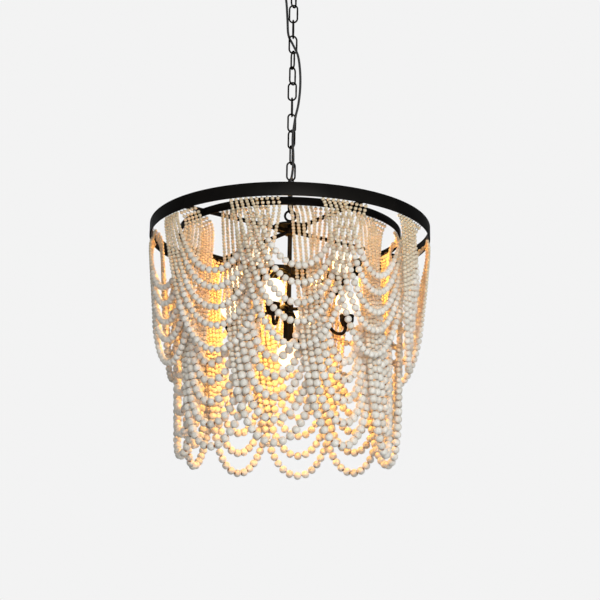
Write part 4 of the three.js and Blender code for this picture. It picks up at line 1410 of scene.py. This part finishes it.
class CHANDELIER_OT_lamp_arms(bpy.types.Operator):
    """Makes the two sprays of curved arms with their hubs and cups, and the holder at the stem's foot"""

    bl_idname = "chandelier.lamp_arms"
    bl_label = "Lamp arms"

    def execute(self, context):
        material = black_metal()
        for name, drop, first in SPRAYS:
            level = HOOP_TOP - drop
            parts = [hub_shell(level)]
            arm = tube(arm_line(level), ARM_RADIUS, ARM_SIDES, Y_AXIS)
            cup = moved(cup_shell(level - ARM_DROP), (ARM_REACH, 0.0, 0.0))
            for bearing in spray_bearings(first):
                parts += [moved(one, bearing=bearing) for one in (arm, cup)]
            spray = joined(parts)
            metal_piece(name + "_arm_spray", spray, material, "chandelier", name + "_lamp_arms")
        metal_piece("foot_lampholder", holder_shell(), material, "chandelier", "stem_lampholder")
        return {"FINISHED"}


class CHANDELIER_OT_bulbs(bpy.types.Operator):
    """Makes the nine lit globe bulbs, the light that they throw and the weak lights on the axis"""

    bl_idname = "chandelier.bulbs"
    bl_label = "Bulbs"

    def execute(self, context):
        glow = context.scene.chandelier_lamps
        materials = [lit_glass(), cap_metal()]
        points, faces = turned(bulb_profile(), SMALL_SIDES)
        heights = np.concatenate([points[group][:, :, 2].mean(axis=1) for group in faces])
        places = []
        for name, drop, first in SPRAYS:
            for i, bearing in enumerate(spray_bearings(first)):
                spot = plan(bearing) * ARM_REACH
                spot[2] = HOOP_TOP - drop - ARM_DROP + CUP_HEIGHT
                places.append(("%s_bulb_%d" % (name, i + 1), spot, 1.0))
        places.append(("stem_bulb", np.array([0.0, 0.0, HOLDER_TOP - HOLDER_LENGTH]), -1.0))
        for node, spot, way in places:
            stood = points * np.array([1.0, 1.0, way])
            groups = faces if way > 0 else [group[:, ::-1] for group in faces]
            obj = put(
                node + "_globe",
                (stood + spot, groups),
                materials,
                face_material=(heights < 0).astype(int),
                sharp=ROUND_SHARP_ANGLE,
            )
            settle(obj, "chandelier", "lit_glass", node)
            centre = spot + np.array([0.0, 0.0, way * (BULB_NECK_LENGTH + BULB_RADIUS)])
            radius = BULB_RADIUS * BULB_LIGHT_SHARE
            point_light(node + "_light", centre.tolist(), glow.power, radius)
        for i, (drop, share) in enumerate(zip(INNER_GLOW_DROPS, INNER_GLOW_SHARES)):
            name = "inner_glow_%d" % (i + 1)
            place = (0.0, 0.0, HOOP_TOP - drop)
            point_light(name, place, glow.inner_power * share, INNER_GLOW_RADIUS)
        return {"FINISHED"}


# Swags


def bead_radius(share, large):
    """The radius that a row hangs by, at shares of half a row from its foot: large, then graded evenly,
    then small."""
    part = (BEAD_SMALL_SHARE - share) / (BEAD_SMALL_SHARE - BEAD_LARGE_SHARE)
    return BEAD_TOP_RADIUS + (large - BEAD_TOP_RADIUS) * np.clip(part, 0, 1)


def hanging_row(half_span, sag, large):
    """Half a row from its foot: how far across and up it is at even steps along it, and its length. The
    slope at a step is k times the weight of the beads below, which for a length goes with the square of
    their radius, and k is closed in on by halving until the row's rise over its half span is right."""
    share = (np.arange(HANG_STEPS) + 0.5) / HANG_STEPS
    piece = (bead_radius(share, large) / large) ** 2 / HANG_STEPS
    weight = np.cumsum(piece) - piece / 2
    low, high = HANG_STEEPNESS
    for _ in range(HANG_HALVINGS):
        steepness = np.sqrt(low * high)
        flat = 1 / np.sqrt(1 + (steepness * weight) ** 2)
        if (flat * steepness * weight).sum() / flat.sum() > sag / half_span:
            high = steepness
        else:
            low = steepness
    across = np.concatenate([[0], np.cumsum(flat)])
    up = np.concatenate([[0], np.cumsum(flat * low * weight)])
    scale = half_span / across[-1]
    return scale * across, scale * up, scale * HANG_STEPS


def bead_size(share, large, steps):
    """The single beads' radius at shares of half a row from its foot: large, then a quick step to
    middling ones, then evenly down to the small ones by the hoop."""
    return np.interp(share, steps, (large, large, BEAD_MIDDLE_SHARE * large, BEAD_TOP_RADIUS))


class Row:
    """One row of a swag, hung by its weight between two holes in the hoop. It lies on the chord between
    the holes, pushed out by a share of the way to the hoop's round. Near its ends it steps aside from the
    rows that it crosses: (offset cos(pi share) - inset) (1 - e^(-depth / fall)) outwards."""

    def __init__(self, tier, bearing, number):
        inside = (tier.hoop_radius - HOOP_WALL) * np.cos(np.pi / tier.hoop_segments) - STRAND_GAP
        hole_turn = np.degrees(HOLE_PITCH / tier.hoop_radius)
        half_turn = 180.0 / tier.swags + (number + 0.5) * hole_turn
        self.tier = tier
        self.reach = inside - BEAD_TOP_RADIUS
        self.level = tier.hoop_top - tier.hoop_height
        self.out = plan(bearing)
        self.start = plan(bearing - half_turn) * self.reach
        self.end = plan(bearing + half_turn) * self.reach
        self.half_span = self.reach * np.sin(np.radians(half_turn))
        self.sag = tier.row_drops[number] - (HOOP_TOP - self.level)
        hung = hanging_row(self.half_span, self.sag, tier.bead_radius)
        self.across, self.up, self.half_arc = hung

    def at(self, s):
        """Points at the distances s from the foot."""
        place = np.abs(s) / self.half_arc
        steps = np.linspace(0, 1, HANG_STEPS + 1)
        across = np.sign(s) * np.interp(place, steps, self.across)
        share = ((across / self.half_span + 1) / 2)[:, None]
        depth = self.sag - np.interp(place, steps, self.up)[:, None]
        points = (1 - share) * self.start + share * self.end
        chord = np.linalg.norm(points, axis=1, keepdims=True)
        points = points * (1 + self.tier.rounding_share * (self.reach / chord - 1))
        aside = LAYER_OFFSET * np.cos(np.pi * share) - LAYER_INSET
        points = points + aside * (1 - np.exp(-depth / LAYER_DEPTH)) * self.out
        points[:, 2] = self.level - depth[:, 0]
        return points

    def radius_at(self, s):
        """The single beads' radius at the distances s from the foot, on one half of the row."""
        return bead_size(s / self.half_arc, self.tier.bead_radius, self.tier.step_shares)

    def string(self):
        """The thread's line from hole to hole: along the row, and at each end out to the hoop and up it
        to the next row's hole."""
        line = self.at(np.linspace(-self.half_arc, self.half_arc, THREAD_SAMPLES))
        inside = 1 + THREAD_HOLE_REACH / self.reach
        first, last = line[0] * [inside, inside, 1], line[-1] * [inside, inside, 1]
        rise = np.array([0.0, 0.0, THREAD_HEIGHT])
        half = rise * 0.5
        return np.concatenate([[first + rise, first + half], line, [last + half, last + rise]])


def bead_places(row, gap):
    """Bead centres, as distances from the foot, and radii along half a row. Touching beads advance by
    ds / dn = 2 k r(s) + gap, where k is a bead's length over its width, so n(s) is the running sum of
    1 / (2 k r + gap), and the beads are where n is whole. The row is then scaled so that its last bead
    ends at the hoop."""
    s = np.linspace(0, row.half_arc, BEAD_ROW_SAMPLES)
    rate = 1 / (2 * BEAD_LENGTH_SHARE * row.radius_at(s) + gap)
    number = np.concatenate([[0], np.cumsum((rate[1:] + rate[:-1]) / 2 * np.diff(s))])
    count = int(number[-1] + BEAD_COUNT_SHARE)
    scale = number[-1] / (count + BEAD_END_SHARE)
    at = np.interp(np.arange(count + 1) * scale, number, s)
    return at, row.radius_at(at) * min(scale, 1.0)


def bead_shape():
    """One bead of radius 1 with its drill hole along Z, a little shorter than wide and fuller than a
    ball: rings of radius sin(a)^p at the heights k cos(a), from one rim of the hole to the other, and a
    face at each end."""
    angle = np.radians(BEAD_RINGS)
    turn = 2 * np.pi * np.arange(BEAD_SIDES) / BEAD_SIDES
    wide = (np.sin(angle) ** BEAD_FULLNESS)[:, None]
    heights = np.repeat(BEAD_LENGTH_SHARE * np.cos(angle)[:, None], BEAD_SIDES, axis=1)
    grid = np.stack([wide * np.cos(turn), wide * np.sin(turn), heights], axis=-1)
    j = np.arange(BEAD_SIDES)
    last = (len(angle) - 1) * BEAD_SIDES
    faces = [grid_faces(len(angle), BEAD_SIDES, False, True), j[None, ::-1], last + j[None, :]]
    return shell(grid.reshape(-1, 3), faces)


def bead_axes(ways, outs, rng):
    """Three axes for each bead: two across its hole, rolled by chance about it, and the hole's own."""
    side = unit(outs - np.einsum("ij,ij->i", outs, ways)[:, None] * ways)
    up = np.cross(ways, side)
    roll = rng.uniform(0, 2 * np.pi, len(ways))[:, None]
    first = np.cos(roll) * side + np.sin(roll) * up
    second = np.cross(ways, first)
    return np.stack([first, second, ways], axis=1)


def strung(rows, seed):
    """The beads and the thread of one swag. Returns the shell, which faces are thread, and the points'
    attributes: numbers and vectors by name."""
    beads = bpy.context.scene.chandelier_beads
    rng = np.random.default_rng(seed)
    shape, shape_faces = bead_shape()
    centres, sizes, ways, outs, lines = [], [], [], [], []
    for number, row in enumerate(rows):
        s, r = bead_places(row, beads.gap)
        s = np.concatenate([-s[:0:-1], s])
        ahead = unit(row.at(s + BEAD_AHEAD) - row.at(s - BEAD_AHEAD))
        centres.append(row.at(s))
        sizes.append(np.concatenate([r[:0:-1], r]))
        ways.append(ahead)
        outs.append(np.broadcast_to(row.out, ahead.shape))
        line = row.string()
        lines.append(line if number % 2 == 0 else line[::-1])
    centres, sizes = np.concatenate(centres), np.concatenate(sizes)
    ways, outs = np.concatenate(ways), np.concatenate(outs)

    count = len(centres)
    spread = np.clip(rng.normal(0, BEAD_SIZE_DEVIATION, count), *BEAD_SIZE_LIMITS)
    sizes = sizes * (1 + beads.size_spread_share * spread)
    ways = unit(ways + rng.normal(0, beads.tilt, (count, 3)))
    axes = bead_axes(ways, outs, rng)
    points = centres[:, None] + sizes[:, None, None] * np.einsum("pk,nkc->npc", shape, axes)
    offset = (np.arange(count) * len(shape))[:, None, None]
    faces = [(group[None] + offset).reshape(-1, group.shape[1]) for group in shape_faces]
    grain = shape[None] + rng.uniform(-BEAD_GRAIN_REACH, BEAD_GRAIN_REACH, (count, 1, 3))
    tone = rng.uniform(0, 1, count) ** BEAD_TONE_POWER
    bare = np.clip((BEAD_BARE_RADIUS - sizes) / BEAD_BARE_FADE, 0, 1)

    string = tube(np.concatenate(lines), beads.thread_radius, THREAD_SIDES, rows[0].out)
    whole = joined([(points.reshape(-1, 3), faces), string])
    bead_faces = sum(len(group) for group in faces)
    all_faces = sum(len(group) for group in whole[1])
    face_material = (np.arange(all_faces) >= bead_faces).astype(int)
    extra = np.zeros(len(whole[0]) - count * len(shape))
    numbers = {
        "bead_tone": np.concatenate([np.repeat(tone, len(shape)), extra]),
        # How near a point is to the bead's ends: the mask of the painted shade between touching beads and
        # of the bare rim
        "bead_rim_and_gap_shade": np.concatenate([np.tile(np.abs(shape[:, 2]) / BEAD_LENGTH_SHARE, count), extra]),
        "bead_bare": np.concatenate([np.repeat(bare, len(shape)), extra]),
    }
    vectors = {"bead_grain": np.concatenate([grain.reshape(-1, 3), np.zeros((len(extra), 3))])}
    return whole, face_material, numbers, vectors


def hang_tier(tier):
    """Hangs every swag of one tier inside its hoop."""
    materials = [bead_wood(), thread()]
    for i in range(tier.swags):
        bearing = tier.first_bearing + 360.0 / tier.swags * i
        rows = [Row(tier, bearing, number) for number in range(len(tier.row_drops))]
        whole, face_material, numbers, vectors = strung(rows, tier.seed + i)
        name = "%s_beads_%02d" % (tier.name, i + 1)
        obj = put(name, whole, materials, face_material, numbers, vectors, sharp=None)
        settle(obj, "chandelier", "washed_beads", "%s_swag_%02d" % (tier.name, i + 1))


class CHANDELIER_OT_upper_swags(bpy.types.Operator):
    """Hangs the upper tier's swags from the outer hoop"""

    bl_idname = "chandelier.upper_swags"
    bl_label = "Upper swags"

    def execute(self, context):
        hang_tier(UPPER_TIER)
        return {"FINISHED"}


class CHANDELIER_OT_lower_swags(bpy.types.Operator):
    """Hangs the lower tier's swags from the inner hoop"""

    bl_idname = "chandelier.lower_swags"
    bl_label = "Lower swags"

    def execute(self, context):
        hang_tier(LOWER_TIER)
        return {"FINISHED"}


PIECES = (
    "stage",
    "cord",
    "ceiling",
    "chain",
    "stem",
    "hoops",
    "cross_bars",
    "lamp_arms",
    "bulbs",
    "upper_swags",
    "lower_swags",
)


class CHANDELIER_PT_pieces(bpy.types.Panel):
    """Lists the pieces of the chandelier"""

    bl_idname = "CHANDELIER_PT_pieces"
    bl_label = "Beaded Chandelier"
    bl_space_type = "VIEW_3D"
    bl_region_type = "UI"
    bl_category = "Chandelier"

    def draw(self, context):
        for piece in PIECES:
            self.layout.operator("chandelier." + piece)
        for group in ("beads", "metal", "lamps", "stage"):
            box = self.layout.box()
            settings = getattr(context.scene, "chandelier_" + group)
            for key in settings.bl_rna.properties.keys():
                if key not in ("name", "rna_type"):
                    box.prop(settings, key)


SETTINGS = (
    ("chandelier_beads", BeadSettings),
    ("chandelier_metal", MetalSettings),
    ("chandelier_lamps", LampSettings),
    ("chandelier_stage", StageSettings),
)
OPERATORS = (
    CHANDELIER_OT_stage,
    CHANDELIER_OT_cord,
    CHANDELIER_OT_ceiling,
    CHANDELIER_OT_chain,
    CHANDELIER_OT_stem,
    CHANDELIER_OT_hoops,
    CHANDELIER_OT_cross_bars,
    CHANDELIER_OT_lamp_arms,
    CHANDELIER_OT_bulbs,
    CHANDELIER_OT_upper_swags,
    CHANDELIER_OT_lower_swags,
)


def register():
    """Adds the settings, the operators and the panel."""
    for name, group in SETTINGS:
        bpy.utils.register_class(group)
        setattr(bpy.types.Scene, name, PointerProperty(type=group))
    for operator in OPERATORS:
        bpy.utils.register_class(operator)
    bpy.utils.register_class(CHANDELIER_PT_pieces)


def unregister():
    """Takes them away again."""
    bpy.utils.unregister_class(CHANDELIER_PT_pieces)
    for operator in reversed(OPERATORS):
        bpy.utils.unregister_class(operator)
    for name, group in reversed(SETTINGS):
        delattr(bpy.types.Scene, name)
        bpy.utils.unregister_class(group)


def main():
    """Builds every piece."""
    register()
    for piece in PIECES:
        getattr(bpy.ops.chandelier, piece)()


if __name__ == "__main__":
    main()
